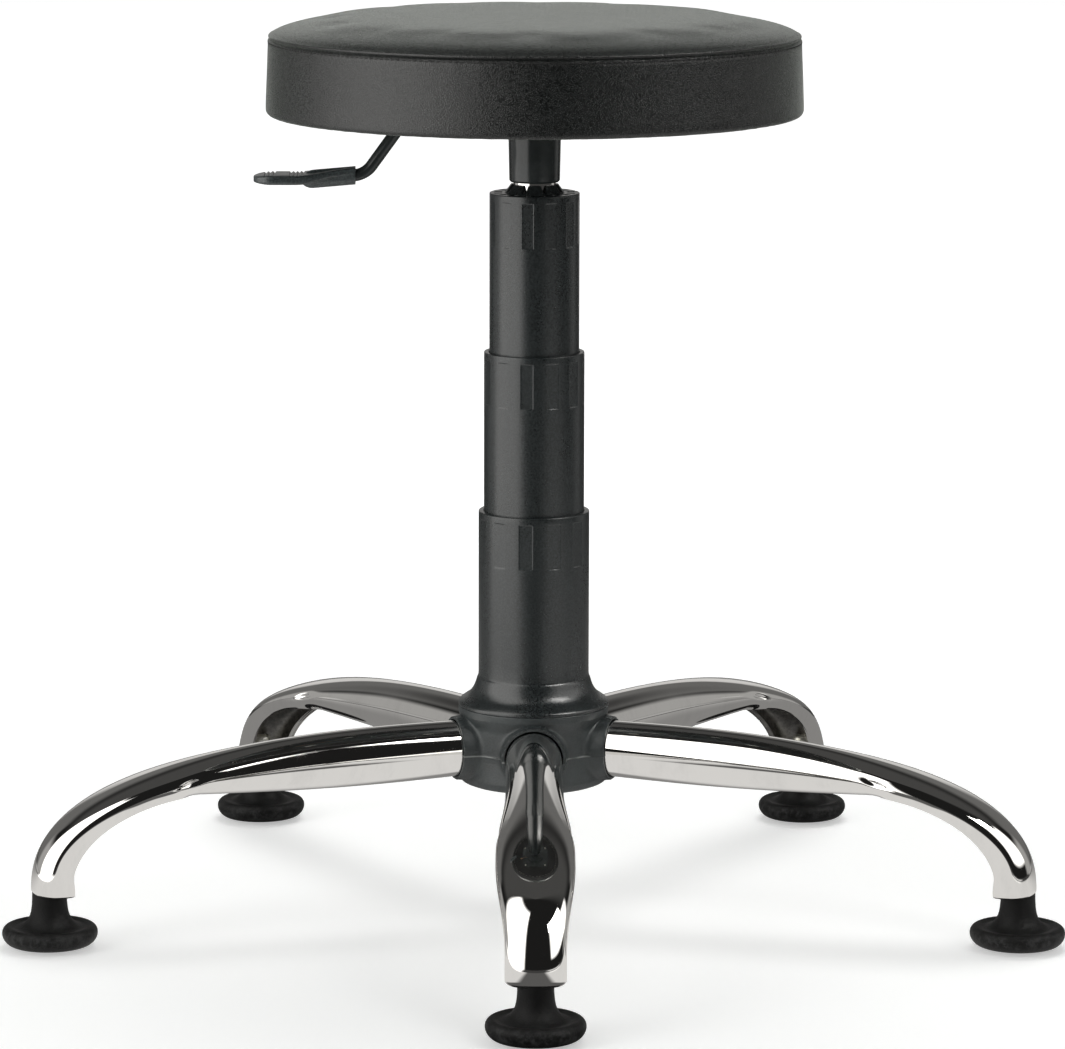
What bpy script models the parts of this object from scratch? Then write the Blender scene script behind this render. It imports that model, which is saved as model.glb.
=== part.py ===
"""Height-adjustable round work stool on a five-leg base with fixed glides.

Run with: blender --background --python part.py
Sizes are in metres and +Z is up. The origin is on the floor, in the middle of the stool's footprint.
Heights are measured from the floor, and radii from the column's axis.
"""

import math

import bmesh
import bpy
from mathutils import Matrix, Vector

# Clearances
SEAT_GAP = 0.0003
SLIDE_GAP = 0.0004
WELD_DISTANCE = 0.00001
CUT_MARGIN = 0.002

# Rounding: how far in a rounded edge's middle stands, as a share of its radius
EDGE_MIDDLE = 1 - math.sqrt(0.5)
ELLIPSE_POWER = 2.0
SHARP_EDGE_TURN = math.radians(40)

# Facets round a turned piece
SEAT_STEPS = 40
CROWN_STEPS = 6
COLUMN_STEPS = 24
SMALL_STEPS = 12
SCREW_STEPS = 8
COUNTERBORE_STEPS = 10
LEG_SIDES = 16
TUBE_BORE_SIDES = 12
PLATE_STEPS = 24
GLIDE_STEPS = 16
PADDLE_SIDES = 16
PADDLE_NECK_STEPS = 5
FLARE_POINTS = 5
PLATE_CORNER_STEPS = 3
LEVER_BEND_STEPS = 4
LEVER_ROD_ROUNDING = 3

# Glides
GLIDE_RADIUS = 0.031
GLIDE_RIM_HEIGHT = 0.0135
GLIDE_EDGE = 0.0035
GLIDE_DISH_DEPTH = 0.0012
GLIDE_NECK_RADIUS = 0.01125
GLIDE_NECK_SWELL = 0.0009
GLIDE_FLARE = 0.0045
GLIDE_DISH_RADIUS = 0.0217
GLIDE_HEIGHT = 0.0355
STEM_RADIUS = 0.005
STEM_SEAT_HEIGHT = 0.0155
STEM_CHAMFER = 0.0008

# Legs
LEG_COUNT = 5
FOOT_RADIUS = 0.3301
LEG_AXIS_HEIGHT = 0.1112
LEG_TUBE_WIDTH = 0.0372
LEG_TUBE_HEIGHT = 0.0368
LEG_START = 0.036
LEG_SHOULDER_START = 0.051
LEG_BEND_START = 0.231
LEG_SAG = 0.0024
LEG_STATIONS = (0, 18, 29, 35, 42, 52, 62, 72, 82, 90)
LEG_SWELL = (math.radians(14), math.radians(45))
LEG_NARROWING = (math.radians(50), math.radians(82))
LEG_OPENING = (math.radians(-2), math.radians(7))
LEG_SHOULDER_WIDTH = 0.0492
LEG_TIP_WIDTH = 0.038
LEG_TOE = 0.0134
LEG_HEEL = 0.0141
LEG_TOP_POWER = 2.5
LEG_BOTTOM_POWER = 2.1
LEG_RIM_POWER = 6.0
LEG_TUBE_WALL = 0.0025
LEG_RIM_WALL = 0.0038
BOSS_RADIUS = 0.0132
BOSS_WALL = 0.0022
BOSS_STAND = 0.0008
BOSS_ROOF = 0.0064

# Hub
HUB_RADIUS = 0.0498
HUB_WAIST = 0.0022
HUB_WALL = 0.003
HUB_EDGE = 0.0045
HUB_SHOULDER = 0.0113
HUB_FOOT = 0.0054
HUB_ABOVE_AXIS = 0.0269
HUB_BELOW_AXIS = 0.0252
HUB_PARTING_DROP = 0.002
SLEEVE_RADIUS = 0.030
SLEEVE_INSET = 0.0025
SPIGOT_REACH = 0.056
LEG_SCREW_RADIUS = 0.003
LEG_SCREW_HEAD_RADIUS = 0.005
LEG_SCREW_HEAD_HEIGHT = 0.0034
LEG_SCREW_PLACE = 0.041
LEG_SCREW_ENGAGEMENT = 0.007
LEG_SCREW_BOSS_RADIUS = 0.0075

# Gas spring and column
STROKE = 0.130
COLUMN_RADIUS = 0.025
COLUMN_WALL = 0.0022
COLUMN_TAPER = 0.0008
COLUMN_DROP = 0.003
COLUMN_FLOOR = 0.003
COVER_HEADROOM = 0.006
ROD_RADIUS = 0.005
ROD_STUB_RADIUS = 0.003
ROD_HEAD_RADIUS = 0.0042
ROD_HEAD_HEIGHT = 0.002
ROD_FLOOR_CLEARANCE = 0.0006
CLIP_THICKNESS = 0.0012
CLIP_RADIUS = 0.0085
CLIP_GROOVE_DEPTH = 0.0008
CLIP_MOUTH = 0.006
BEARING_RADIUS = 0.014
BEARING_HEIGHT = 0.007
BEARING_RACE_DEPTH = 0.0015
BUMP_RADIUS = 0.016
BUMP_HEIGHT = 0.018
BUMP_WAIST_DEPTH = 0.002
BUSH_LENGTH = 0.074
BUSH_FLANGE = 0.003
CYLINDER_RADIUS = 0.014
CYLINDER_WALL = 0.0025
CYLINDER_TAPER = 0.0008
CYLINDER_CROWN = 0.017
ROD_GUIDE_HEIGHT = 0.012
PISTON_HEIGHT = 0.012
PISTON_GROOVE_DEPTH = 0.001
BUTTON_RADIUS = 0.003
BUTTON_STAND = 0.0046
BUTTON_SINK = 0.010

# Telescopic cover
COVER_RADIUS = 0.0365
COVER_STAGE_STEP = 0.0035
COVER_BOTTOM_LENGTH = 0.1297
COVER_MIDDLE_REVEAL = 0.1056
COVER_TOP_REVEAL = 0.1047
COVER_WALL = 0.0018
COVER_LIP = 0.003
COVER_EDGE = 0.0006
FLARE_RADIUS = 0.0498
FLARE_HEIGHT = 0.0186
FLARE_STEP = 0.0007
FLARE_RIM = 0.0028
FLARE_TURN = math.radians(72)
RECESS_COUNT = 12
RECESS_ZONE = 0.034
RECESS_EDGE = 0.0045
RECESS_ARC = math.radians(14)
RECESS_DEPTH = 0.0006
RECESS_PHASE = math.radians(-8.5)
FINGER_COUNT = 8
FINGER_BASE_RADIUS = 0.0195
FINGER_TIP_RADIUS = 0.0157
FINGER_HEIGHT = 0.0056
FINGER_SLOT = 0.0022
FINGER_PHASE = math.radians(22.5)

# Socket and seat plate
NECK_REVEAL = 0.0071
SOCKET_LENGTH = 0.032
SOCKET_TOP_RADIUS = 0.01725
SOCKET_MOUTH_RADIUS = 0.0166
SOCKET_EDGE = 0.001
PLATE_WIDTH = 0.150
PLATE_CORNER = 0.012
PLATE_THICKNESS = 0.0025
PAN_RADIUS = 0.048
PAN_DEPTH = 0.0098
PAN_HOLE_RADIUS = 0.010
PLATE_SCREW_SPACING = 0.120
PLATE_SCREW_RADIUS = 0.003
PLATE_SCREW_HEAD_RADIUS = 0.005
PLATE_SCREW_HEAD_HEIGHT = 0.0035
TEE_NUT_BARREL_RADIUS = 0.0045
TEE_NUT_FLANGE_RADIUS = 0.0095
TEE_NUT_FLANGE = 0.0018

# Seat cushion
SEAT_RADIUS = 0.175
SEAT_TAPER = 0.0018
SEAT_BELLY = 0.00045
SEAT_BAND_HEIGHT = 0.0495
SEAT_CROWN = 0.0138
CROWN_POWER = 8.0
CROWN_ROUNDNESS = 0.8
SKIN = 0.0012
SEAT_EDGE = 0.0035
WRAP_WIDTH = 0.025
BOARD_THICKNESS = 0.012
DUST_COVER_THICKNESS = 0.0008

# Release lever
LEVER_ROD_RADIUS = 0.004
LEVER_PIVOT = 0.034
LEVER_OVERREACH = 0.006
LEVER_FIRST_BEND = 0.0733
LEVER_DROP = 0.0366
LEVER_SLOPE = math.radians(42)
LEVER_BEND_RADIUS = 0.014
LEVER_ELBOW_RADIUS = 0.006
LEVER_PIN_RADIUS = 0.0015
LEVER_PIN_LENGTH = 0.016
LEVER_SLOT_MARGIN = 0.002
LEVER_LIFT_ROOM = 0.004
LUG_THICKNESS = 0.002
LUG_LENGTH = 0.008
LUG_ABOVE_PIN = 0.0033
PADDLE_LENGTH = 0.0665
PADDLE_WIDTH = 0.024
PADDLE_THICKNESS = 0.0068
PADDLE_SOCKET_RADIUS = 0.00605
PADDLE_TIP = 0.014
PADDLE_TIP_SHARES = (0.0, 0.07, 0.25, 0.55, 1.0)
PADDLE_TIP_POWER = 2.6
PADDLE_TIP_WIDTH = 0.2
PADDLE_TIP_THICKNESS = 0.62
PADDLE_THICKENING = 0.0084
PADDLE_PAD_POWER = 5.0
PADDLE_NECK_LENGTH = 0.032
PADDLE_NECK_RISE = 0.0272
PADDLE_PAD_DROP = 0.0022
PADDLE_INSERT = 0.0125

# Levels of the base, from the floor up
BOSS_LEVEL = GLIDE_HEIGHT + SEAT_GAP
LEG_TIP_LEVEL = BOSS_LEVEL + BOSS_STAND
LEG_TUBE_TOP = LEG_AXIS_HEIGHT + LEG_TUBE_HEIGHT / 2
LEG_TUBE_BOTTOM = LEG_AXIS_HEIGHT - LEG_TUBE_HEIGHT / 2
HUB_TOP = LEG_AXIS_HEIGHT + HUB_ABOVE_AXIS
HUB_BOTTOM = LEG_AXIS_HEIGHT - HUB_BELOW_AXIS
HUB_PARTING = LEG_AXIS_HEIGHT - HUB_PARTING_DROP
SPIGOT_RADIUS = LEG_TUBE_HEIGHT / 2 - LEG_TUBE_WALL - SEAT_GAP
SCREW_HEAD_SEAT = HUB_BOTTOM + LEG_SCREW_HEAD_HEIGHT + 2 * SEAT_GAP

# Levels of the column and its cover
COLUMN_BOTTOM = HUB_BOTTOM - COLUMN_DROP
COLUMN_FLOOR_TOP = COLUMN_BOTTOM + COLUMN_FLOOR
CLIP_TOP = COLUMN_BOTTOM - SEAT_GAP
CLIP_BOTTOM = CLIP_TOP - CLIP_THICKNESS
BEARING_BOTTOM = COLUMN_FLOOR_TOP + SEAT_GAP
BUMP_BOTTOM = BEARING_BOTTOM + BEARING_HEIGHT + SEAT_GAP
BUMP_TOP = BUMP_BOTTOM + BUMP_HEIGHT
CYLINDER_BOTTOM = BUMP_TOP + SEAT_GAP + STROKE
COVER_BOTTOM = HUB_TOP + SEAT_GAP
COVER_BOTTOM_TOP = COVER_BOTTOM + COVER_BOTTOM_LENGTH
COVER_MIDDLE_TOP = COVER_BOTTOM_TOP + COVER_MIDDLE_REVEAL
COVER_TOP_TOP = COVER_MIDDLE_TOP + COVER_TOP_REVEAL
COLUMN_TOP = COVER_TOP_TOP - STROKE - COVER_LIP - COVER_HEADROOM - BUSH_FLANGE - SEAT_GAP
COVER_MIDDLE_RADIUS = COVER_RADIUS - COVER_STAGE_STEP
COVER_TOP_RADIUS = COVER_MIDDLE_RADIUS - COVER_STAGE_STEP
GUIDE_TOP = CYLINDER_BOTTOM + SEAT_GAP + ROD_GUIDE_HEIGHT
PISTON_BOTTOM = GUIDE_TOP + SEAT_GAP
PISTON_TOP = PISTON_BOTTOM + PISTON_HEIGHT

# Levels of the seat
SOCKET_MOUTH = COVER_TOP_TOP + NECK_REVEAL
SOCKET_TOP = SOCKET_MOUTH + SOCKET_LENGTH
CYLINDER_TOP = SOCKET_TOP - SEAT_GAP
PAN_BOTTOM = SOCKET_TOP + SEAT_GAP
PAN_FLOOR = PAN_BOTTOM + PLATE_THICKNESS
PLATE_TOP = PAN_FLOOR + PAN_DEPTH
PLATE_BOTTOM = PLATE_TOP - PLATE_THICKNESS
DUST_COVER_BOTTOM = PLATE_TOP + SEAT_GAP
BOARD_BOTTOM = DUST_COVER_BOTTOM + DUST_COVER_THICKNESS + SEAT_GAP
BOARD_TOP = BOARD_BOTTOM + BOARD_THICKNESS
BOARD_RADIUS = SEAT_RADIUS - SKIN - SEAT_GAP
SEAT_UNDERSIDE = BOARD_BOTTOM - SEAT_GAP - SKIN
SEAM_LEVEL = SEAT_UNDERSIDE + SEAT_BAND_HEIGHT
SEAM_RADIUS = SEAT_RADIUS - SEAT_TAPER

# Levels and places of the lever
BUTTON_TOP = CYLINDER_TOP + BUTTON_STAND
LEVER_LEVEL = BUTTON_TOP + SLIDE_GAP + LEVER_ROD_RADIUS
LEVER_ELBOW = LEVER_FIRST_BEND + LEVER_DROP / math.tan(LEVER_SLOPE)
PADDLE_MOUTH = LEVER_ELBOW + LEVER_ELBOW_RADIUS * math.tan(LEVER_SLOPE / 2) + 2 * SEAT_GAP
LEVER_SLOT_WIDTH = 2 * (LEVER_ROD_RADIUS + LEVER_SLOT_MARGIN)

# Finishes: colour, roughness and metallic value
LEATHERETTE = ((0.045, 0.045, 0.05), 0.45, 0.0)
FOAM = ((0.75, 0.68, 0.42), 0.95, 0.0)
PLYWOOD = ((0.52, 0.36, 0.2), 0.6, 0.0)
BLACK_CLOTH = ((0.02, 0.02, 0.02), 0.9, 0.0)
BLACK_PLASTIC = ((0.03, 0.035, 0.035), 0.42, 0.0)
BLACK_PAINT = ((0.012, 0.012, 0.013), 0.15, 0.0)
CHROME = ((0.8, 0.8, 0.82), 0.06, 1.0)
STEEL = ((0.5, 0.5, 0.52), 0.3, 1.0)
ZINC = ((0.62, 0.62, 0.6), 0.35, 1.0)
WHITE_PLASTIC = ((0.8, 0.8, 0.78), 0.4, 0.0)
RUBBER = ((0.02, 0.02, 0.02), 0.85, 0.0)


def feet():
    """Places of the glides round the column, and the turn of each leg."""
    turns = [math.tau * k / LEG_COUNT for k in range(LEG_COUNT)]
    return [(FOOT_RADIUS * math.sin(a), -FOOT_RADIUS * math.cos(a), a) for a in turns]


def column_offset():
    """How far the column stands behind the middle of the footprint."""
    depths = [place[1] for place in feet()]
    return -(min(depths) + max(depths)) / 2


def clear_scene():
    for old in list(bpy.data.objects):
        bpy.data.objects.remove(old, do_unlink=True)


def new_collection(name):
    group = bpy.data.collections.new(name)
    bpy.context.scene.collection.children.link(group)
    return group


def finish(name, look):
    """A material with the piece's colour, roughness and metallic value."""
    colour, roughness, metallic = look
    material = bpy.data.materials.new(name)
    material.use_nodes = True
    shader = material.node_tree.nodes["Principled BSDF"]
    shader.inputs["Base Color"].default_value = (*colour, 1.0)
    shader.inputs["Roughness"].default_value = roughness
    shader.inputs["Metallic"].default_value = metallic
    material.diffuse_color = (*colour, 1.0)
    return material


def place(name, mesh, look=None, location=(0, 0, 0), turn=0.0):
    """Put a mesh in the stool as a piece, or as a cutter when it has no look."""
    piece = bpy.data.objects.new(name, mesh)
    piece.location = location
    piece.rotation_euler = (0, 0, turn)
    piece.parent = COLUMN_AXIS
    if look is None:
        CUTTERS.objects.link(piece)
        piece.hide_render = True
        piece.display_type = "WIRE"
        return piece
    if not mesh.materials:
        mesh.materials.append(finish(name, look))
    STOOL.objects.link(piece)
    return piece


def turned(name, profile, steps, look=None, location=(0, 0, 0), closed=False):
    """Turn a profile of (radius, height) points round Z. It runs down its outer side, top to bottom."""
    mesh = bpy.data.meshes.new(name)
    edges = [(i, i + 1) for i in range(len(profile) - 1)]
    if closed:
        edges.append((len(profile) - 1, 0))
    mesh.from_pydata([(r, 0, z) for r, z in profile], edges, [])
    piece = place(name, mesh, look, location)
    screw = piece.modifiers.new("Turn", "SCREW")
    screw.axis = "Z"
    screw.angle = math.tau
    screw.steps = steps
    screw.render_steps = steps
    screw.use_merge_vertices = True
    screw.merge_threshold = WELD_DISTANCE
    screw.use_smooth_shade = True
    return piece


def ring(inner, outer, bottom, top):
    """Profile of a plain ring."""
    return [(outer, top), (outer, bottom), (inner, bottom), (inner, top)]


def rod_profile(radius, bottom, top, chamfer=0.0):
    """Profile of a plain round bar, with its ends chamfered if asked."""
    ends = [(0, top), (radius - chamfer, top)]
    if chamfer:
        ends += [(radius, top - chamfer), (radius, bottom + chamfer)]
    return ends + [(radius - chamfer, bottom), (0, bottom)]


def cylinder_cutter(name, radius, start, end, steps=SMALL_STEPS):
    """A round cutter from one point to another."""
    start, end = Vector(start), Vector(end)
    tool = bmesh.new()
    bmesh.ops.create_cone(
        tool, cap_ends=True, segments=steps, radius1=radius, radius2=radius, depth=(end - start).length
    )
    turn = (end - start).to_track_quat("Z", "Y").to_matrix().to_4x4()
    quarter_facet = Matrix.Rotation(math.tau / steps / 4, 4, "Z")
    tool.transform(Matrix.Translation((start + end) / 2) @ turn @ quarter_facet)
    return placed_bmesh(name, tool)


def box_shape(name, low, high, look=None):
    """A box from its lowest corner to its highest."""
    low, high = Vector(low), Vector(high)
    tool = bmesh.new()
    bmesh.ops.create_cube(tool, size=1.0)
    tool.transform(Matrix.Translation((low + high) / 2) @ Matrix.Diagonal((*(high - low), 1.0)))
    return placed_bmesh(name, tool, look)


def placed_bmesh(name, tool, look=None):
    """Turn a bmesh into a piece, or into a cutter when it has no look."""
    mesh = bpy.data.meshes.new(name)
    tool.to_mesh(mesh)
    tool.free()
    return place(name, mesh, look)


def boolean(piece, tool, operation):
    """Cut a tool from a piece, or join it on."""
    step = piece.modifiers.new(tool.name, "BOOLEAN")
    step.operation = operation
    step.object = tool
    step.solver = "EXACT"
    weld = piece.modifiers.new(tool.name + "_weld", "WELD")
    weld.merge_threshold = WELD_DISTANCE


def cut(piece, *tools):
    for tool in tools:
        boolean(piece, tool, "DIFFERENCE")


def join(piece, *tools):
    for tool in tools:
        boolean(piece, tool, "UNION")


def evaluated_mesh(piece, name):
    """The mesh of a piece after its modifiers."""
    bpy.context.view_layer.update()
    graph = bpy.context.evaluated_depsgraph_get()
    mesh = bpy.data.meshes.new_from_object(piece.evaluated_get(graph), depsgraph=graph)
    mesh.name = name
    return mesh


def ease(value, start, end):
    """Rise smoothly from 0 at the start to 1 at the end."""
    t = min(max((value - start) / (end - start), 0.0), 1.0)
    return t * t * (3 - 2 * t)


def power_point(cosine, sine, power):
    """A point of a unit superellipse, given the cosine and sine of its angle."""
    across = math.copysign(abs(cosine) ** (2 / power), cosine)
    up = math.copysign(abs(sine) ** (2 / power), sine)
    return across, up


def loft(name, rings, look=None, location=(0, 0, 0)):
    """A closed solid through rings of points with the same number of points each."""
    body = bmesh.new()
    loops = [[body.verts.new(point) for point in one] for one in rings]
    for first, second in zip(loops, loops[1:]):
        for i in range(len(first)):
            j = (i + 1) % len(first)
            body.faces.new((first[i], first[j], second[j], second[i]))
    body.faces.new(loops[0])
    body.faces.new(loops[-1])
    bmesh.ops.recalc_face_normals(body, faces=body.faces)
    mesh = bpy.data.meshes.new(name)
    body.to_mesh(mesh)
    body.free()
    mesh.shade_smooth()
    mesh.set_sharp_from_angle(angle=SHARP_EDGE_TURN)
    return place(name, mesh, look, location)


def leg_top_point(turn):
    """The leg's back line, as (radius, height): a superellipse from the hub down to the toe."""
    across, up = power_point(math.sin(turn), math.cos(turn), LEG_TOP_POWER)
    reach = FOOT_RADIUS + LEG_TOE - LEG_SHOULDER_START
    drop = LEG_TUBE_TOP - LEG_TIP_LEVEL
    return LEG_SHOULDER_START + reach * across, LEG_TIP_LEVEL + drop * up


def leg_back_height(radius):
    """Height of the leg's back line at a distance from the column."""
    share = (radius - LEG_SHOULDER_START) / (FOOT_RADIUS + LEG_TOE - LEG_SHOULDER_START)
    sine = share ** (LEG_TOP_POWER / 2)
    up = (1 - sine**2) ** (1 / LEG_TOP_POWER)
    return LEG_TIP_LEVEL + (LEG_TUBE_TOP - LEG_TIP_LEVEL) * up


def boss_top():
    """Top of the glide's boss, which stays a wall and a clearance below the leg's back."""
    return leg_back_height(FOOT_RADIUS + STEM_RADIUS + SEAT_GAP + BOSS_WALL) - BOSS_ROOF


def leg_bottom_point(turn, radius):
    """The leg's underside: slightly sagging up to the bend, then a superellipse down to the heel."""
    if radius < LEG_BEND_START:
        along = max(radius - LEG_SHOULDER_START, 0) / (LEG_BEND_START - LEG_SHOULDER_START)
        return radius, LEG_TUBE_BOTTOM - LEG_SAG * math.sin(math.pi * along)
    quarter = math.pi / 2
    round_bend = (turn - bend_turn()) / (quarter - bend_turn()) * quarter
    across, up = power_point(math.sin(round_bend), math.cos(round_bend), LEG_BOTTOM_POWER)
    reach = FOOT_RADIUS - LEG_HEEL - LEG_BEND_START
    drop = LEG_TUBE_BOTTOM - LEG_TIP_LEVEL
    return LEG_BEND_START + reach * across, LEG_TIP_LEVEL + drop * up


def bend_turn():
    """The turn at which the back line passes over the start of the underside's bend."""
    reach = FOOT_RADIUS + LEG_TOE - LEG_SHOULDER_START
    share = (LEG_BEND_START - LEG_SHOULDER_START) / reach
    return math.asin(share ** (LEG_TOP_POWER / 2))


def leg_width(turn):
    """The tube widens into the open channel, then narrows to the foot."""
    swell = ease(turn, *LEG_SWELL) * (LEG_SHOULDER_WIDTH - LEG_TUBE_WIDTH)
    fall = ease(turn, *LEG_NARROWING) * (LEG_SHOULDER_WIDTH - LEG_TIP_WIDTH)
    return LEG_TUBE_WIDTH + swell - fall


def leg_openness(turn):
    """0 where the leg is a closed tube, 1 where its underside is open."""
    return ease(turn - bend_turn(), *LEG_OPENING)


def leg_section(top, bottom, width, sides, power=ELLIPSE_POWER):
    """A ring of points: a round back, and an underside that squares off as its power grows."""
    middle = ((top[0] + bottom[0]) / 2, (top[1] + bottom[1]) / 2)
    half = ((top[0] - bottom[0]) / 2, (top[1] - bottom[1]) / 2)
    points = []
    for i in range(sides):
        angle = math.tau * i / sides
        sine = math.sin(angle)
        across, up = power_point(math.cos(angle), sine, ELLIPSE_POWER if sine >= 0 else power)
        radius, height = middle[0] + half[0] * up, middle[1] + half[1] * up
        points.append((width / 2 * across, -radius, height))
    return points


def leg_edges(turn):
    """The back point, the underside point and the direction from the underside to the back."""
    top = Vector(leg_top_point(turn))
    bottom = Vector(leg_bottom_point(turn, top[0]))
    return top, bottom, (top - bottom).normalized()


def leg_outside():
    """Rings of the leg's outer skin, from the hub to the foot."""
    root_top, root_bottom = (LEG_START, LEG_TUBE_TOP), (LEG_START, LEG_TUBE_BOTTOM)
    rings = [leg_section(root_top, root_bottom, LEG_TUBE_WIDTH, LEG_SIDES)]
    for turn in map(math.radians, LEG_STATIONS):
        top, bottom, _ = leg_edges(turn)
        power = ELLIPSE_POWER + (LEG_RIM_POWER - ELLIPSE_POWER) * leg_openness(turn)
        rings.append(leg_section(top, bottom, leg_width(turn), LEG_SIDES, power))
    return rings


def leg_inside():
    """Rings of the leg's hollow, which breaks through the underside past the bend."""
    wall = LEG_TUBE_WALL
    top = (LEG_START - CUT_MARGIN, LEG_TUBE_TOP - wall)
    bottom = (LEG_START - CUT_MARGIN, LEG_TUBE_BOTTOM + wall)
    rings = [leg_section(top, bottom, LEG_TUBE_WIDTH - 2 * wall, TUBE_BORE_SIDES)]
    for turn in map(math.radians, LEG_STATIONS):
        top, bottom, up = leg_edges(turn)
        openness = leg_openness(turn)
        wall = LEG_TUBE_WALL + (LEG_RIM_WALL - LEG_TUBE_WALL) * openness
        top = top - up * wall
        bottom = bottom + up * (LEG_TUBE_WALL - (LEG_TUBE_WALL + 2 * CUT_MARGIN) * openness)
        power = ELLIPSE_POWER + (LEG_RIM_POWER - ELLIPSE_POWER) * openness
        rings.append(leg_section(top, bottom, leg_width(turn) - 2 * wall, TUBE_BORE_SIDES, power))
    rings.append([(x, y, z - CUT_MARGIN) for x, y, z in rings[-1]])
    return rings


def make_legs():
    """Bent steel legs: a closed tube at the hub that opens into a channel round the glide's boss."""
    pattern = loft("leg_pattern", leg_outside())
    screw_low = (0, -LEG_SCREW_PLACE, LEG_TUBE_BOTTOM - CUT_MARGIN)
    screw_high = (0, -LEG_SCREW_PLACE, LEG_TUBE_BOTTOM + LEG_TUBE_WALL + CUT_MARGIN)
    cut(pattern, cylinder_cutter("leg_screw_hole", LEG_SCREW_RADIUS + SEAT_GAP, screw_low, screw_high))
    cut(pattern, loft("leg_hollow", leg_inside()))
    top = boss_top()
    stem_bore = STEM_RADIUS + SEAT_GAP
    cone = [
        (stem_bore + BOSS_WALL, top), (BOSS_RADIUS, BOSS_LEVEL), (stem_bore, BOSS_LEVEL),
        (stem_bore, top)
    ]
    foot = (0, -FOOT_RADIUS, 0)
    join(pattern, turned("leg_boss", cone, SMALL_STEPS, location=foot, closed=True))
    mesh = evaluated_mesh(pattern, "leg")
    for k, (_, _, turn) in enumerate(feet()):
        place(f"leg_{k + 1}", mesh, CHROME, turn=turn)


def make_glides():
    """Round dished glides, each with a steel stem pressed up into its leg's boss."""
    bore = STEM_RADIUS + SEAT_GAP
    rim = GLIDE_RIM_HEIGHT
    profile = [
        (0, STEM_SEAT_HEIGHT), (bore, STEM_SEAT_HEIGHT), (bore, GLIDE_HEIGHT),
        (GLIDE_NECK_RADIUS, GLIDE_HEIGHT),
        (GLIDE_NECK_RADIUS + GLIDE_NECK_SWELL, (GLIDE_HEIGHT + rim) / 2),
        (GLIDE_NECK_RADIUS + GLIDE_FLARE, rim),
        (GLIDE_DISH_RADIUS, rim - GLIDE_DISH_DEPTH),
        (GLIDE_RADIUS - GLIDE_EDGE, rim),
        (GLIDE_RADIUS, rim - GLIDE_EDGE),
        (GLIDE_RADIUS, GLIDE_EDGE),
        (GLIDE_RADIUS - GLIDE_EDGE / 2, 0),
        (0, 0),
    ]
    stem_bottom = STEM_SEAT_HEIGHT + SEAT_GAP
    stem = rod_profile(STEM_RADIUS, stem_bottom, boss_top(), STEM_CHAMFER)
    for k, (x, y, _) in enumerate(feet()):
        turned(f"glide_{k + 1}", profile, GLIDE_STEPS, RUBBER, (x, y, 0))
        turned(f"glide_stem_{k + 1}", stem, SMALL_STEPS, ZINC, (x, y, 0))


def around(pattern, count_turns):
    """Copies of a cutter's mesh turned round the column."""
    copies = []
    for k, turn in enumerate(count_turns):
        copies.append(place(f"{pattern.name}_{k + 1}", pattern.data, turn=turn))
    return copies


def leg_turns():
    return [turn for _, _, turn in feet()]


def leg_opening():
    """Cutter for the place where a leg goes into the hub, a clearance larger all round."""
    rings = []
    for radius in (SLEEVE_RADIUS - CUT_MARGIN, HUB_RADIUS + CUT_MARGIN):
        top = (radius, LEG_TUBE_TOP + SEAT_GAP)
        bottom = (radius, LEG_TUBE_BOTTOM - SEAT_GAP)
        rings.append(leg_section(top, bottom, LEG_TUBE_WIDTH + 2 * SEAT_GAP, LEG_SIDES))
    return loft("leg_opening", rings)


def column_radius(height):
    """Outer radius of the column tube, which tapers inside the hub."""
    share = (height - COLUMN_BOTTOM) / (HUB_TOP - SLEEVE_INSET - COLUMN_BOTTOM)
    return COLUMN_RADIUS - COLUMN_TAPER * (1 - min(share, 1.0))


def make_hub_core():
    """The steel sleeve on the column's taper, with a spigot for each leg."""
    bottom, top = HUB_BOTTOM + SLEEVE_INSET, HUB_TOP - SLEEVE_INSET
    profile = [
        (SLEEVE_RADIUS, top), (SLEEVE_RADIUS, bottom), (column_radius(bottom) + SEAT_GAP, bottom),
        (column_radius(top) + SEAT_GAP, top),
    ]
    core = turned("hub_core", profile, COLUMN_STEPS, STEEL, closed=True)
    rings = []
    for radius in (COLUMN_RADIUS + 2 * SEAT_GAP, SPIGOT_REACH):
        high, low = LEG_AXIS_HEIGHT + SPIGOT_RADIUS, LEG_AXIS_HEIGHT - SPIGOT_RADIUS
        rings.append(leg_section((radius, high), (radius, low), 2 * SPIGOT_RADIUS, TUBE_BORE_SIDES))
    spigot = loft("spigot", rings)
    join(core, *around(spigot, leg_turns()))
    low = (0, -LEG_SCREW_PLACE, LEG_AXIS_HEIGHT - SPIGOT_RADIUS - CUT_MARGIN)
    high = (0, -LEG_SCREW_PLACE, LEG_TUBE_BOTTOM + LEG_TUBE_WALL + LEG_SCREW_ENGAGEMENT + CUT_MARGIN)
    tapped = cylinder_cutter("tapped_hole", LEG_SCREW_RADIUS + SEAT_GAP, low, high)
    cut(core, *around(tapped, leg_turns()))


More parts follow.
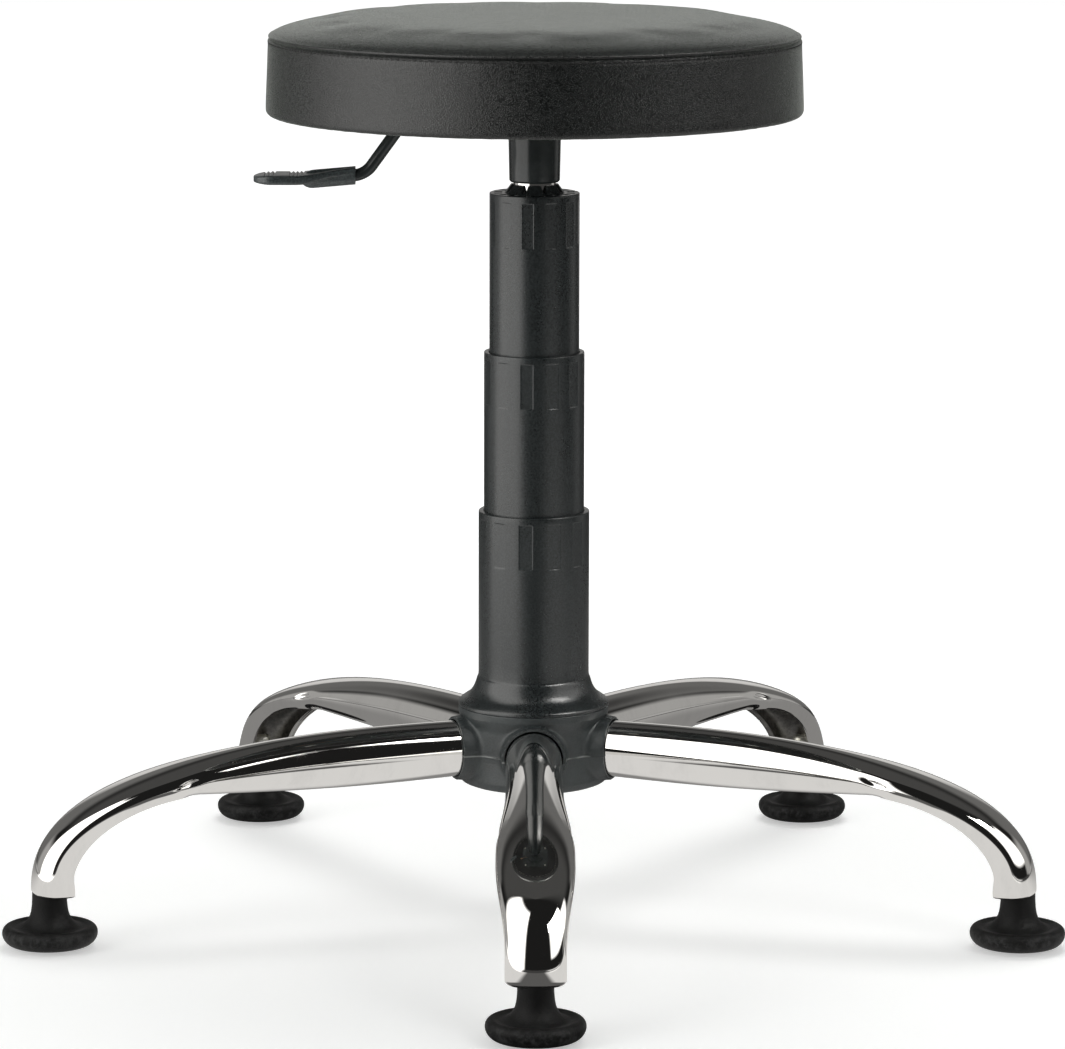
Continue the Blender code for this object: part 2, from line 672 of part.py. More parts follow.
def make_hub_shells():
    """Two moulded shells that close round the legs' roots and meet at the parting line."""
    inner = SLEEVE_RADIUS + SEAT_GAP
    waist = HUB_RADIUS - HUB_WAIST
    edge = HUB_EDGE
    middle = edge * EDGE_MIDDLE
    half_gap = SEAT_GAP / 2
    upper = [
        (HUB_RADIUS, HUB_TOP), (HUB_RADIUS, HUB_TOP - edge), (waist, HUB_TOP - HUB_SHOULDER),
        (waist, HUB_PARTING + half_gap), (waist - HUB_WALL, HUB_PARTING + half_gap),
        (waist - HUB_WALL, HUB_TOP - HUB_WALL), (inner, HUB_TOP - HUB_WALL), (inner, HUB_TOP),
    ]
    lower = [
        (waist, HUB_PARTING - half_gap), (HUB_RADIUS, HUB_BOTTOM + HUB_FOOT),
        (HUB_RADIUS - middle, HUB_BOTTOM + middle), (HUB_RADIUS - edge, HUB_BOTTOM),
        (inner, HUB_BOTTOM), (inner, HUB_BOTTOM + HUB_WALL), (waist - HUB_WALL, HUB_BOTTOM + HUB_WALL),
        (waist - HUB_WALL, HUB_PARTING - half_gap),
    ]
    opening = leg_opening()
    upper_shell = turned("hub_upper", upper, COLUMN_STEPS, BLACK_PLASTIC, closed=True)
    lower_shell = turned("hub_lower", lower, COLUMN_STEPS, BLACK_PLASTIC, closed=True)
    boss_low = (0, -LEG_SCREW_PLACE, HUB_BOTTOM + HUB_WALL / 2)
    boss_high = (0, -LEG_SCREW_PLACE, LEG_AXIS_HEIGHT)
    boss = cylinder_cutter("screw_boss", LEG_SCREW_BOSS_RADIUS, boss_low, boss_high, SCREW_STEPS)
    join(lower_shell, *around(boss, leg_turns()))
    openings = around(opening, leg_turns())
    cut(upper_shell, *openings)
    cut(lower_shell, *openings)
    low = (0, -LEG_SCREW_PLACE, HUB_BOTTOM - CUT_MARGIN)
    seat = (0, -LEG_SCREW_PLACE, SCREW_HEAD_SEAT)
    high = (0, -LEG_SCREW_PLACE, LEG_TUBE_BOTTOM + CUT_MARGIN)
    head_room = LEG_SCREW_HEAD_RADIUS + 2 * SEAT_GAP
    counterbore = cylinder_cutter("screw_counterbore", head_room, low, seat, COUNTERBORE_STEPS)
    hole = cylinder_cutter("screw_hole", LEG_SCREW_RADIUS + 2 * SEAT_GAP, low, high, SCREW_STEPS)
    cut(lower_shell, *around(counterbore, leg_turns()))
    cut(lower_shell, *around(hole, leg_turns()))


def screw_profile(head_radius, radius, head_bottom, head_height, tip):
    """A cap screw pointing up, with a recess in its head."""
    under = head_bottom + head_height
    socket = head_radius / 2
    return [
        (0, tip), (radius, tip), (radius, under), (head_radius, under), (head_radius, head_bottom),
        (socket, head_bottom), (socket, head_bottom + head_height / 2), (0, head_bottom + head_height / 2),
    ]


def make_leg_screws():
    """Screws from below that hold each leg on its spigot."""
    head_bottom = SCREW_HEAD_SEAT - SEAT_GAP - LEG_SCREW_HEAD_HEIGHT
    tip = LEG_TUBE_BOTTOM + LEG_TUBE_WALL + LEG_SCREW_ENGAGEMENT
    profile = screw_profile(
        LEG_SCREW_HEAD_RADIUS, LEG_SCREW_RADIUS, head_bottom, LEG_SCREW_HEAD_HEIGHT, tip
    )
    for k, turn in enumerate(leg_turns()):
        spot = (LEG_SCREW_PLACE * math.sin(turn), -LEG_SCREW_PLACE * math.cos(turn), 0)
        turned(f"leg_screw_{k + 1}", profile, SCREW_STEPS, ZINC, spot)


def make_column():
    """The column tube with its floor, and the bush that the gas cylinder slides in."""
    taper_top = HUB_TOP - SLEEVE_INSET
    inner = COLUMN_RADIUS - COLUMN_WALL
    foot = COLUMN_RADIUS - COLUMN_TAPER
    hole = ROD_RADIUS + ROD_FLOOR_CLEARANCE
    tube = [
        (COLUMN_RADIUS, COLUMN_TOP), (COLUMN_RADIUS, taper_top), (foot, COLUMN_BOTTOM),
        (hole, COLUMN_BOTTOM), (hole, COLUMN_FLOOR_TOP), (foot - COLUMN_WALL, COLUMN_FLOOR_TOP),
        (inner, taper_top), (inner, COLUMN_TOP),
    ]
    turned("column_tube", tube, COLUMN_STEPS, BLACK_PAINT, closed=True)
    bore = CYLINDER_RADIUS + SEAT_GAP
    body = inner - SEAT_GAP
    flange_bottom = COLUMN_TOP + SEAT_GAP
    bush = [
        (COLUMN_RADIUS, flange_bottom + BUSH_FLANGE), (COLUMN_RADIUS, flange_bottom),
        (body, flange_bottom), (body, COLUMN_TOP - BUSH_LENGTH), (bore, COLUMN_TOP - BUSH_LENGTH),
        (bore, flange_bottom + BUSH_FLANGE),
    ]
    turned("guide_bush", bush, COLUMN_STEPS, WHITE_PLASTIC, closed=True)


def waisted_ring(inner, outer, bottom, height, waist):
    """Profile of a ring with a groove round its middle."""
    third = height / 3
    return [
        (outer, bottom + height), (outer, bottom + 2 * third), (outer - waist, bottom + height / 2),
        (outer, bottom + third), (outer, bottom), (inner, bottom), (inner, bottom + height),
    ]


def make_column_floor_pieces():
    """What stands on the column's floor round the rod, and the clip below it."""
    bore = ROD_RADIUS + SEAT_GAP
    bearing = waisted_ring(bore, BEARING_RADIUS, BEARING_BOTTOM, BEARING_HEIGHT, BEARING_RACE_DEPTH)
    turned("thrust_bearing", bearing, SMALL_STEPS, STEEL, closed=True)
    bump = waisted_ring(bore, BUMP_RADIUS, BUMP_BOTTOM, BUMP_HEIGHT, BUMP_WAIST_DEPTH)
    turned("bump_stop", bump, SMALL_STEPS, RUBBER, closed=True)
    groove = ROD_RADIUS - CLIP_GROOVE_DEPTH + SEAT_GAP
    clip = turned(
        "retaining_clip", ring(groove, CLIP_RADIUS, CLIP_BOTTOM, CLIP_TOP), SMALL_STEPS, STEEL, closed=True
    )
    low = (-CLIP_MOUTH / 2, 0, CLIP_BOTTOM - CUT_MARGIN)
    high = (CLIP_MOUTH / 2, CLIP_RADIUS + CUT_MARGIN, CLIP_TOP + CUT_MARGIN)
    cut(clip, box_shape("clip_mouth", low, high))


def make_gas_spring():
    """The gas spring: rod and piston, and the chrome cylinder that carries the seat."""
    groove = ROD_RADIUS - CLIP_GROOVE_DEPTH
    rod_end = CLIP_BOTTOM - CLIP_THICKNESS
    head_bottom = PISTON_TOP + SEAT_GAP
    shoulder = PISTON_BOTTOM - SEAT_GAP
    rod = [
        (0, head_bottom + ROD_HEAD_HEIGHT), (ROD_HEAD_RADIUS, head_bottom + ROD_HEAD_HEIGHT),
        (ROD_HEAD_RADIUS, head_bottom), (ROD_STUB_RADIUS, head_bottom), (ROD_STUB_RADIUS, shoulder),
        (ROD_RADIUS, shoulder), (ROD_RADIUS, CLIP_TOP + SEAT_GAP), (groove, CLIP_TOP + SEAT_GAP),
        (groove, CLIP_BOTTOM - SEAT_GAP), (ROD_RADIUS, CLIP_BOTTOM - SEAT_GAP), (ROD_RADIUS, rod_end),
        (0, rod_end),
    ]
    turned("piston_rod", rod, SMALL_STEPS, STEEL)
    bore = CYLINDER_RADIUS - CYLINDER_WALL
    piston = waisted_ring(
        ROD_STUB_RADIUS + SEAT_GAP, bore - SEAT_GAP, PISTON_BOTTOM, PISTON_HEIGHT, PISTON_GROOVE_DEPTH
    )
    turned("piston", piston, SMALL_STEPS, STEEL, closed=True)
    guide = ring(ROD_RADIUS + SEAT_GAP, bore - SEAT_GAP, CYLINDER_BOTTOM + SEAT_GAP, GUIDE_TOP)
    turned("rod_guide", guide, SMALL_STEPS, BLACK_PLASTIC, closed=True)
    button_hole = BUTTON_RADIUS + SLIDE_GAP
    cylinder = [
        (CYLINDER_RADIUS - CYLINDER_TAPER, CYLINDER_TOP), (CYLINDER_RADIUS, SOCKET_MOUTH),
        (CYLINDER_RADIUS, CYLINDER_BOTTOM), (bore, CYLINDER_BOTTOM), (bore, CYLINDER_TOP - CYLINDER_CROWN),
        (button_hole, CYLINDER_TOP - CYLINDER_CROWN), (button_hole, CYLINDER_TOP),
    ]
    turned("gas_cylinder", cylinder, COLUMN_STEPS, CHROME, closed=True)
    button = rod_profile(BUTTON_RADIUS, CYLINDER_TOP - BUTTON_SINK, BUTTON_TOP)
    turned("release_button", button, SMALL_STEPS, BLACK_PLASTIC)


def recess_ring(radius, top):
    """Shallow recesses round the top of a cover stage, as one cutter."""
    tools = bmesh.new()
    floor = (radius - RECESS_DEPTH) * math.cos(RECESS_ARC / 2)
    half = radius * math.sin(RECESS_ARC / 2)
    low = Vector((-half, -radius - CUT_MARGIN, top - RECESS_ZONE))
    high = Vector((half, -floor, top - RECESS_EDGE))
    for k in range(RECESS_COUNT):
        turn = RECESS_PHASE + math.tau * k / RECESS_COUNT
        size = Matrix.Diagonal((*(high - low), 1.0))
        spot = Matrix.Rotation(turn, 4, "Z") @ Matrix.Translation((low + high) / 2)
        bmesh.ops.create_cube(tools, size=1.0, matrix=spot @ size)
    return placed_bmesh(f"recesses_{round(radius * 10000)}", tools)


def flare_points():
    """The concave foot of the bottom cover stage, from the wall down to the rim."""
    start = COVER_RADIUS + FLARE_STEP
    rim_inner = FLARE_RADIUS - FLARE_STEP * 2
    arc = (rim_inner - start) / (1 - math.cos(FLARE_TURN))
    points = []
    for k in range(FLARE_POINTS):
        turn = FLARE_TURN * k / (FLARE_POINTS - 1)
        fall = math.sin(turn) / math.sin(FLARE_TURN) * (FLARE_HEIGHT - FLARE_RIM)
        points.append((start + arc * (1 - math.cos(turn)), COVER_BOTTOM + FLARE_HEIGHT - fall))
    return points


def make_cover_bottom():
    """The bottom stage stands on the hub and flares out at its foot."""
    top, wall, edge = COVER_BOTTOM_TOP, COVER_WALL, COVER_EDGE
    witness = (COVER_RADIUS, COVER_BOTTOM + FLARE_HEIGHT)
    outer = [(COVER_RADIUS - edge, top), (COVER_RADIUS, top - edge), witness]
    flare = flare_points()
    rim = [(FLARE_RADIUS, flare[-1][1] - FLARE_STEP), (FLARE_RADIUS, COVER_BOTTOM)]
    inside = [(r - wall, max(z - wall, COVER_BOTTOM)) for r, z in reversed(flare)]
    inside[0] = (inside[0][0], COVER_BOTTOM)
    bore = COVER_RADIUS - wall
    lip = COVER_MIDDLE_RADIUS + SLIDE_GAP
    inner = [(bore, inside[-1][1]), (bore, top - COVER_LIP), (lip, top - COVER_LIP), (lip, top)]
    profile = outer + flare + rim + inside[:-1] + inner
    stage = turned("cover_stage_bottom", profile, COLUMN_STEPS, BLACK_PLASTIC, closed=True)
    cut(stage, recess_ring(COVER_RADIUS, top))


def sliding_stage(outer, bottom, top, lip, flange):
    """Profile of a cover stage with a lip at its top and a flange at its foot."""
    edge = COVER_EDGE
    bore = outer - COVER_WALL
    return [
        (outer - edge, top), (outer, top - edge), (outer, bottom + COVER_LIP), (flange, bottom + COVER_LIP),
        (flange, bottom), (bore, bottom), (bore, top - COVER_LIP), (lip, top - COVER_LIP), (lip, top),
    ]


def make_cover_middle():
    """The middle stage hangs by its flange under the bottom stage's lip."""
    bottom = COVER_BOTTOM_TOP - 2 * COVER_LIP - SEAT_GAP
    flange = COVER_RADIUS - COVER_WALL - SLIDE_GAP
    lip = COVER_TOP_RADIUS + SLIDE_GAP
    profile = sliding_stage(COVER_MIDDLE_RADIUS, bottom, COVER_MIDDLE_TOP, lip, flange)
    stage = turned("cover_stage_middle", profile, COLUMN_STEPS, BLACK_PLASTIC, closed=True)
    cut(stage, recess_ring(COVER_MIDDLE_RADIUS, COVER_MIDDLE_TOP))


def make_cover_top():
    """The top stage grips the chrome cylinder with a crown of fingers."""
    top = COVER_TOP_TOP
    bottom = COVER_MIDDLE_TOP - 2 * COVER_LIP - SEAT_GAP
    flange = COVER_MIDDLE_RADIUS - COVER_WALL - SLIDE_GAP
    grip = CYLINDER_RADIUS + SEAT_GAP
    profile = sliding_stage(COVER_TOP_RADIUS, bottom, top, grip, flange)[:-1]
    tip = top + FINGER_HEIGHT
    profile += [(grip, tip), (FINGER_TIP_RADIUS, tip), (FINGER_BASE_RADIUS, top)]
    stage = turned("cover_stage_top", profile, COLUMN_STEPS, BLACK_PLASTIC, closed=True)
    cut(stage, recess_ring(COVER_TOP_RADIUS, top))
    slots = bmesh.new()
    reach = FINGER_BASE_RADIUS + CUT_MARGIN
    low = Vector((-FINGER_SLOT / 2, CYLINDER_RADIUS - CUT_MARGIN, top + SEAT_GAP))
    high = Vector((FINGER_SLOT / 2, reach, tip + CUT_MARGIN))
    for k in range(FINGER_COUNT):
        turn = FINGER_PHASE + math.tau * k / FINGER_COUNT
        spot = Matrix.Rotation(turn, 4, "Z") @ Matrix.Translation((low + high) / 2)
        bmesh.ops.create_cube(slots, size=1.0, matrix=spot @ Matrix.Diagonal((*(high - low), 1.0)))
    cut(stage, placed_bmesh("finger_slots", slots))


def make_socket():
    """The tapered socket that hangs from the seat plate over the gas cylinder's taper."""
    edge = SOCKET_EDGE
    low_bore = CYLINDER_RADIUS + SEAT_GAP
    high_bore = CYLINDER_RADIUS - CYLINDER_TAPER + SEAT_GAP
    profile = [
        (SOCKET_TOP_RADIUS, SOCKET_TOP), (SOCKET_MOUTH_RADIUS, SOCKET_MOUTH + edge),
        (SOCKET_MOUTH_RADIUS - edge, SOCKET_MOUTH), (low_bore, SOCKET_MOUTH), (high_bore, SOCKET_TOP),
    ]
    turned("socket_tube", profile, COLUMN_STEPS, BLACK_PAINT, closed=True)


def screw_places():
    """The four screws of the seat plate."""
    half = PLATE_SCREW_SPACING / 2
    return [(-half, -half), (half, -half), (half, half), (-half, half)]


def screw_holes(name, radius, low, high):
    """Four round cutters at the seat plate's screws, as one tool."""
    tools = bmesh.new()
    for x, y in screw_places():
        quarter_facet = Matrix.Rotation(math.tau / SMALL_STEPS / 4, 4, "Z")
        spot = Matrix.Translation((x, y, (low + high) / 2)) @ quarter_facet
        bmesh.ops.create_cone(
            tools, cap_ends=True, segments=SMALL_STEPS, radius1=radius, radius2=radius, depth=high - low,
            matrix=spot,
        )
    return placed_bmesh(name, tools)


def lever_slot(name, near, far, low, high):
    """A cutter along the lever, from one distance left of the column to another."""
    half = LEVER_SLOT_WIDTH / 2
    return box_shape(name, (-far, -half, low), (-near, half, high))


def make_mount_plate():
    """The pressed seat plate: a square flange round a shallow pan with the lever's two lugs."""
    half = PLATE_WIDTH / 2
    plate = box_shape("mount_plate", (-half, -half, PLATE_BOTTOM), (half, half, PLATE_TOP), BLACK_PAINT)
    corners = plate.modifiers.new("Corners", "BEVEL")
    corners.width = PLATE_CORNER
    corners.segments = PLATE_CORNER_STEPS
    corners.limit_method = "WEIGHT"
    weights = plate.data.attributes.new("bevel_weight_edge", "FLOAT", "EDGE")
    for edge in plate.data.edges:
        a, b = (plate.data.vertices[i].co for i in edge.vertices)
        weights.data[edge.index].value = 1.0 if abs(a.z - b.z) > PLATE_THICKNESS / 2 else 0.0
    pan = rod_profile(PAN_RADIUS, PAN_BOTTOM, PLATE_TOP - PLATE_THICKNESS / 2)
    join(plate, turned("pan_outside", pan, PLATE_STEPS))
    hollow = rod_profile(PAN_RADIUS - PLATE_THICKNESS, PAN_FLOOR, PLATE_TOP + CUT_MARGIN)
    cut(plate, turned("pan_hollow", hollow, PLATE_STEPS))
    hole = rod_profile(PAN_HOLE_RADIUS, PAN_BOTTOM - CUT_MARGIN, PLATE_TOP)
    cut(plate, turned("pan_hole", hole, SMALL_STEPS))
    notch_near = PAN_RADIUS - PLATE_THICKNESS - CUT_MARGIN
    notch_low = (PAN_FLOOR + LEVER_LEVEL - LEVER_ROD_RADIUS) / 2
    cut(plate, lever_slot("lever_notch", notch_near, half + CUT_MARGIN, notch_low, PLATE_TOP + CUT_MARGIN))
    bore = PLATE_SCREW_RADIUS + SEAT_GAP
    cut(plate, screw_holes("plate_holes", bore, PLATE_BOTTOM - CUT_MARGIN, PLATE_TOP + CUT_MARGIN))
    for side in (-1, 1):
        near = side * (LEVER_ROD_RADIUS + SEAT_GAP)
        far = near + side * LUG_THICKNESS
        low = (-LEVER_PIVOT - LUG_LENGTH / 2, min(near, far), PAN_FLOOR - PLATE_THICKNESS / 2)
        high = (-LEVER_PIVOT + LUG_LENGTH / 2, max(near, far), LEVER_LEVEL + LUG_ABOVE_PIN)
        join(plate, box_shape(f"pin_lug_{'left' if side < 0 else 'right'}", low, high))
    reach = LEVER_PIN_LENGTH
    start, end = (-LEVER_PIVOT, -reach, LEVER_LEVEL), (-LEVER_PIVOT, reach, LEVER_LEVEL)
    cut(plate, cylinder_cutter("lug_holes", LEVER_PIN_RADIUS + SEAT_GAP, start, end))


def make_plate_fasteners():
    """Screws up through the seat plate into flanged nuts let into the board."""
    head_bottom = PLATE_BOTTOM - SEAT_GAP - PLATE_SCREW_HEAD_HEIGHT
    nut_top = BOARD_TOP - SEAT_GAP
    flange_bottom = nut_top - TEE_NUT_FLANGE
    screw = screw_profile(
        PLATE_SCREW_HEAD_RADIUS, PLATE_SCREW_RADIUS, head_bottom, PLATE_SCREW_HEAD_HEIGHT, flange_bottom
    )
    bore = PLATE_SCREW_RADIUS + SEAT_GAP
    nut = [
        (TEE_NUT_FLANGE_RADIUS, nut_top), (TEE_NUT_FLANGE_RADIUS, flange_bottom),
        (TEE_NUT_BARREL_RADIUS, flange_bottom), (TEE_NUT_BARREL_RADIUS, BOARD_BOTTOM), (bore, BOARD_BOTTOM),
        (bore, nut_top),
    ]
    for k, (x, y) in enumerate(screw_places()):
        turned(f"plate_screw_{k + 1}", screw, SCREW_STEPS, ZINC, (x, y, 0))
        turned(f"tee_nut_{k + 1}", nut, SCREW_STEPS, ZINC, (x, y, 0), closed=True)


def make_seat_board():
    """The plywood board, with holes for the nuts and a groove over the lever."""
    middle = SEAT_EDGE * EDGE_MIDDLE
    profile = [
        (0, BOARD_TOP), (BOARD_RADIUS, BOARD_TOP), (BOARD_RADIUS, BOARD_BOTTOM + SEAT_EDGE),
        (BOARD_RADIUS - middle, BOARD_BOTTOM + middle), (BOARD_RADIUS - SEAT_EDGE, BOARD_BOTTOM),
        (0, BOARD_BOTTOM),
    ]
    board = turned("seat_board", profile, SEAT_STEPS, PLYWOOD)
    barrel = TEE_NUT_BARREL_RADIUS + SEAT_GAP
    flange = TEE_NUT_FLANGE_RADIUS + SEAT_GAP
    cut(board, screw_holes("nut_holes", barrel, BOARD_BOTTOM - CUT_MARGIN, BOARD_TOP + CUT_MARGIN))
    pocket = BOARD_TOP - TEE_NUT_FLANGE - 2 * SEAT_GAP
    cut(board, screw_holes("nut_pockets", flange, pocket, BOARD_TOP + CUT_MARGIN))
    far = LEVER_FIRST_BEND + LEVER_BEND_RADIUS
    groove_top = BOARD_BOTTOM + LEVER_LIFT_ROOM
    near, low = -LEVER_OVERREACH - CUT_MARGIN, BOARD_BOTTOM - CUT_MARGIN
    cut(board, lever_slot("lever_groove", near, far, low, groove_top))


def make_dust_cover():
    """The thin cloth disc under the board, with a slot for the lever and holes for the screws."""
    radius = SEAT_RADIUS - WRAP_WIDTH - SEAT_GAP
    top = DUST_COVER_BOTTOM + DUST_COVER_THICKNESS
    cloth = turned("seat_dust_cover", rod_profile(radius, DUST_COVER_BOTTOM, top), SEAT_STEPS, BLACK_CLOTH)
    low, high = DUST_COVER_BOTTOM - CUT_MARGIN, top + CUT_MARGIN
    cut(cloth, screw_holes("cloth_holes", PLATE_SCREW_RADIUS + SEAT_GAP, low, high))
    far = LEVER_FIRST_BEND + LEVER_BEND_RADIUS
    cut(cloth, lever_slot("cloth_slot", -LEVER_OVERREACH - CUT_MARGIN, far, low, high))


def crown_points(radius, base, height):
    """A crowned top from its middle to its edge, closer together where it rounds off."""
    points = []
    for k in range(CROWN_STEPS + 1):
        share = math.sin(math.pi / 2 * k / CROWN_STEPS)
        rise = (1 - share**CROWN_POWER) ** CROWN_ROUNDNESS
        points.append((radius * share, base + height * rise))
    return points


def make_seat_skins():
    """The top panel and the side band, which meet at the seam."""
    outside = crown_points(SEAM_RADIUS, SEAM_LEVEL + SEAT_GAP, SEAT_CROWN)
    inside = crown_points(SEAM_RADIUS - SKIN, SEAM_LEVEL + SEAT_GAP, SEAT_CROWN - SKIN)
    turned("seat_top_cover", outside + inside[::-1], SEAT_STEPS, LEATHERETTE)
    edge = SEAT_EDGE
    round_in = edge * EDGE_MIDDLE
    low = SEAT_UNDERSIDE
    wrap = SEAT_RADIUS - WRAP_WIDTH
    inner = BOARD_RADIUS + SEAT_GAP
    belly = SEAT_RADIUS - SEAT_BELLY
    middle = low + SEAT_BAND_HEIGHT / 2
    profile = [
        (SEAM_RADIUS, SEAM_LEVEL), (belly, middle), (SEAT_RADIUS, low + 2 * edge),
        (SEAT_RADIUS, low + edge), (SEAT_RADIUS - round_in, low + round_in), (SEAT_RADIUS - edge, low),
        (wrap, low), (wrap, low + SKIN), (inner - edge, low + SKIN),
        (inner - round_in, low + SKIN + round_in), (inner, low + SKIN + edge), (belly - SKIN, middle),
        (SEAM_RADIUS - SKIN, SEAM_LEVEL),
    ]
    turned("seat_side_band", profile, SEAT_STEPS, LEATHERETTE, closed=True)


def make_seat_foam():
    """The crowned foam between the board and the cover."""
    inset = SKIN + 2 * SEAT_GAP
    top = crown_points(SEAM_RADIUS - inset, SEAM_LEVEL, SEAT_CROWN - SKIN - SEAT_GAP)
    bottom = BOARD_TOP + SEAT_GAP
    belly = SEAT_RADIUS - SEAT_BELLY - inset
    middle = SEAT_UNDERSIDE + SEAT_BAND_HEIGHT / 2
    sides = [(belly, max(middle, bottom + SEAT_GAP)), (belly, bottom), (0, bottom)]
    turned("seat_foam", top + sides, SEAT_STEPS, FOAM)


def bent_route(corners, radii):
    """A route of straight runs joined by arcs at its corners."""
    route = [Vector(corners[0])]
    for before, corner, after, radius in zip(corners, corners[1:], corners[2:], radii):
        corner = Vector(corner)
        first = (Vector(before) - corner).normalized()
        second = (Vector(after) - corner).normalized()
        half = first.angle(second) / 2
        centre = corner + (first + second).normalized() * radius / math.sin(half)
        start = corner + first * radius / math.tan(half)
        arm = start - centre
        axis = second.cross(first).normalized()
        for k in range(LEVER_BEND_STEPS + 1):
            swing = (math.pi - 2 * half) * k / LEVER_BEND_STEPS
            route.append(centre + Matrix.Rotation(swing, 3, axis) @ arm)
    route.append(Vector(corners[-1]))
    return route


def make_lever():
    """The bent release rod, drilled for its pin, with the flat paddle on its end."""
    pivot = Vector((-LEVER_PIVOT, 0, LEVER_LEVEL))
    paddle_level = LEVER_LEVEL - LEVER_DROP
    corners = [
        (LEVER_OVERREACH, 0, LEVER_LEVEL), (-LEVER_FIRST_BEND, 0, LEVER_LEVEL),
        (-LEVER_ELBOW, 0, paddle_level), (-PADDLE_MOUTH - PADDLE_INSERT, 0, paddle_level),
    ]
    route = bent_route(corners, (LEVER_BEND_RADIUS, LEVER_ELBOW_RADIUS))
    curve = bpy.data.curves.new("lever_route", "CURVE")
    curve.dimensions = "3D"
    curve.bevel_depth = LEVER_ROD_RADIUS
    curve.bevel_resolution = LEVER_ROD_ROUNDING
    curve.use_fill_caps = True
    spline = curve.splines.new("POLY")
    spline.points.add(len(route) - 1)
    for point, spot in zip(spline.points, route):
        point.co = (*(spot - pivot), 1.0)
    wire = bpy.data.objects.new("lever_route", curve)
    STOOL.objects.link(wire)
    mesh = evaluated_mesh(wire, "lever_rod")
    bpy.data.objects.remove(wire, do_unlink=True)
    body = bmesh.new()
    body.from_mesh(mesh)
    bmesh.ops.remove_doubles(body, verts=body.verts, dist=WELD_DISTANCE)
    body.to_mesh(mesh)
    body.free()
    rod = place("lever_rod", mesh, BLACK_PAINT, pivot)
    side = LEVER_ROD_RADIUS + CUT_MARGIN
    start, end = (-LEVER_PIVOT, -side, LEVER_LEVEL), (-LEVER_PIVOT, side, LEVER_LEVEL)
    cut(rod, cylinder_cutter("pin_hole", LEVER_PIN_RADIUS + SEAT_GAP, start, end))
    make_paddle(pivot, paddle_level)
    half = LEVER_PIN_LENGTH / 2
    pin = cylinder_cutter("pin_shape", LEVER_PIN_RADIUS, (0, -half, 0), (0, half, 0))
    place("lever_pin", pin.data, STEEL, pivot)


def paddle_sections():
    """Distances along the paddle from its tip to its mouth."""
    tip = [PADDLE_TIP * share for share in PADDLE_TIP_SHARES]
    neck_start = PADDLE_LENGTH - PADDLE_NECK_LENGTH
    step = PADDLE_NECK_LENGTH / PADDLE_NECK_STEPS
    return tip + [neck_start + step * k for k in range(PADDLE_NECK_STEPS + 1)]


def paddle_ring(along, pivot, level):
    """One section of the paddle: a flat rounded pad that grows into the round socket."""
    neck_start = PADDLE_LENGTH - PADDLE_NECK_LENGTH
    neck = ease(along, neck_start, neck_start + PADDLE_NECK_RISE)
    tip = min(along / PADDLE_TIP, 1.0)
    plan = max(math.sqrt(1 - (1 - tip) ** PADDLE_TIP_POWER), PADDLE_TIP_WIDTH)
    half_width = PADDLE_WIDTH / 2 * plan * (1 - neck) + PADDLE_SOCKET_RADIUS * neck
    thin = PADDLE_TIP_THICKNESS + (1 - PADDLE_TIP_THICKNESS) * ease(along, 0, PADDLE_THICKENING)
    half_height = PADDLE_THICKNESS / 2 * thin * (1 - neck) + PADDLE_SOCKET_RADIUS * neck
    middle = level - PADDLE_PAD_DROP * (1 - neck)
    power = PADDLE_PAD_POWER + (ELLIPSE_POWER - PADDLE_PAD_POWER) * neck
    x = -PADDLE_MOUTH - PADDLE_LENGTH + along
    points = []
    for i in range(PADDLE_SIDES):
        angle = math.tau * i / PADDLE_SIDES
        across, up = power_point(math.cos(angle), math.sin(angle), power)
        points.append(Vector((x, half_width * across, middle + half_height * up)) - pivot)
    return points


def make_paddle(pivot, level):
    rings = [paddle_ring(along, pivot, level) for along in paddle_sections()]
    paddle = loft("lever_paddle", rings, BLACK_PLASTIC, pivot)
    start = (-PADDLE_MOUTH + CUT_MARGIN, 0, level)
    end = (-PADDLE_MOUTH - PADDLE_INSERT - SEAT_GAP, 0, level)
    cut(paddle, cylinder_cutter("paddle_bore", LEVER_ROD_RADIUS + SEAT_GAP, start, end))


clear_scene()
STOOL = new_collection("work_stool")
CUTTERS = new_collection("cutters")
COLUMN_AXIS = bpy.data.objects.new("column_axis", None)
STOOL.objects.link(COLUMN_AXIS)
COLUMN_AXIS.location = (0, column_offset(), 0)

make_legs()
make_glides()
make_hub_core()
make_hub_shells()
make_leg_screws()
make_column()
make_column_floor_pieces()
make_gas_spring()
make_cover_bottom()
make_cover_middle()
make_cover_top()
make_socket()
make_mount_plate()
make_plate_fasteners()
make_seat_board()
make_dust_cover()
make_seat_foam()
make_seat_skins()
make_lever()
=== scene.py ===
"""Looks of a height-adjustable round work stool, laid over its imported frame."""
import math

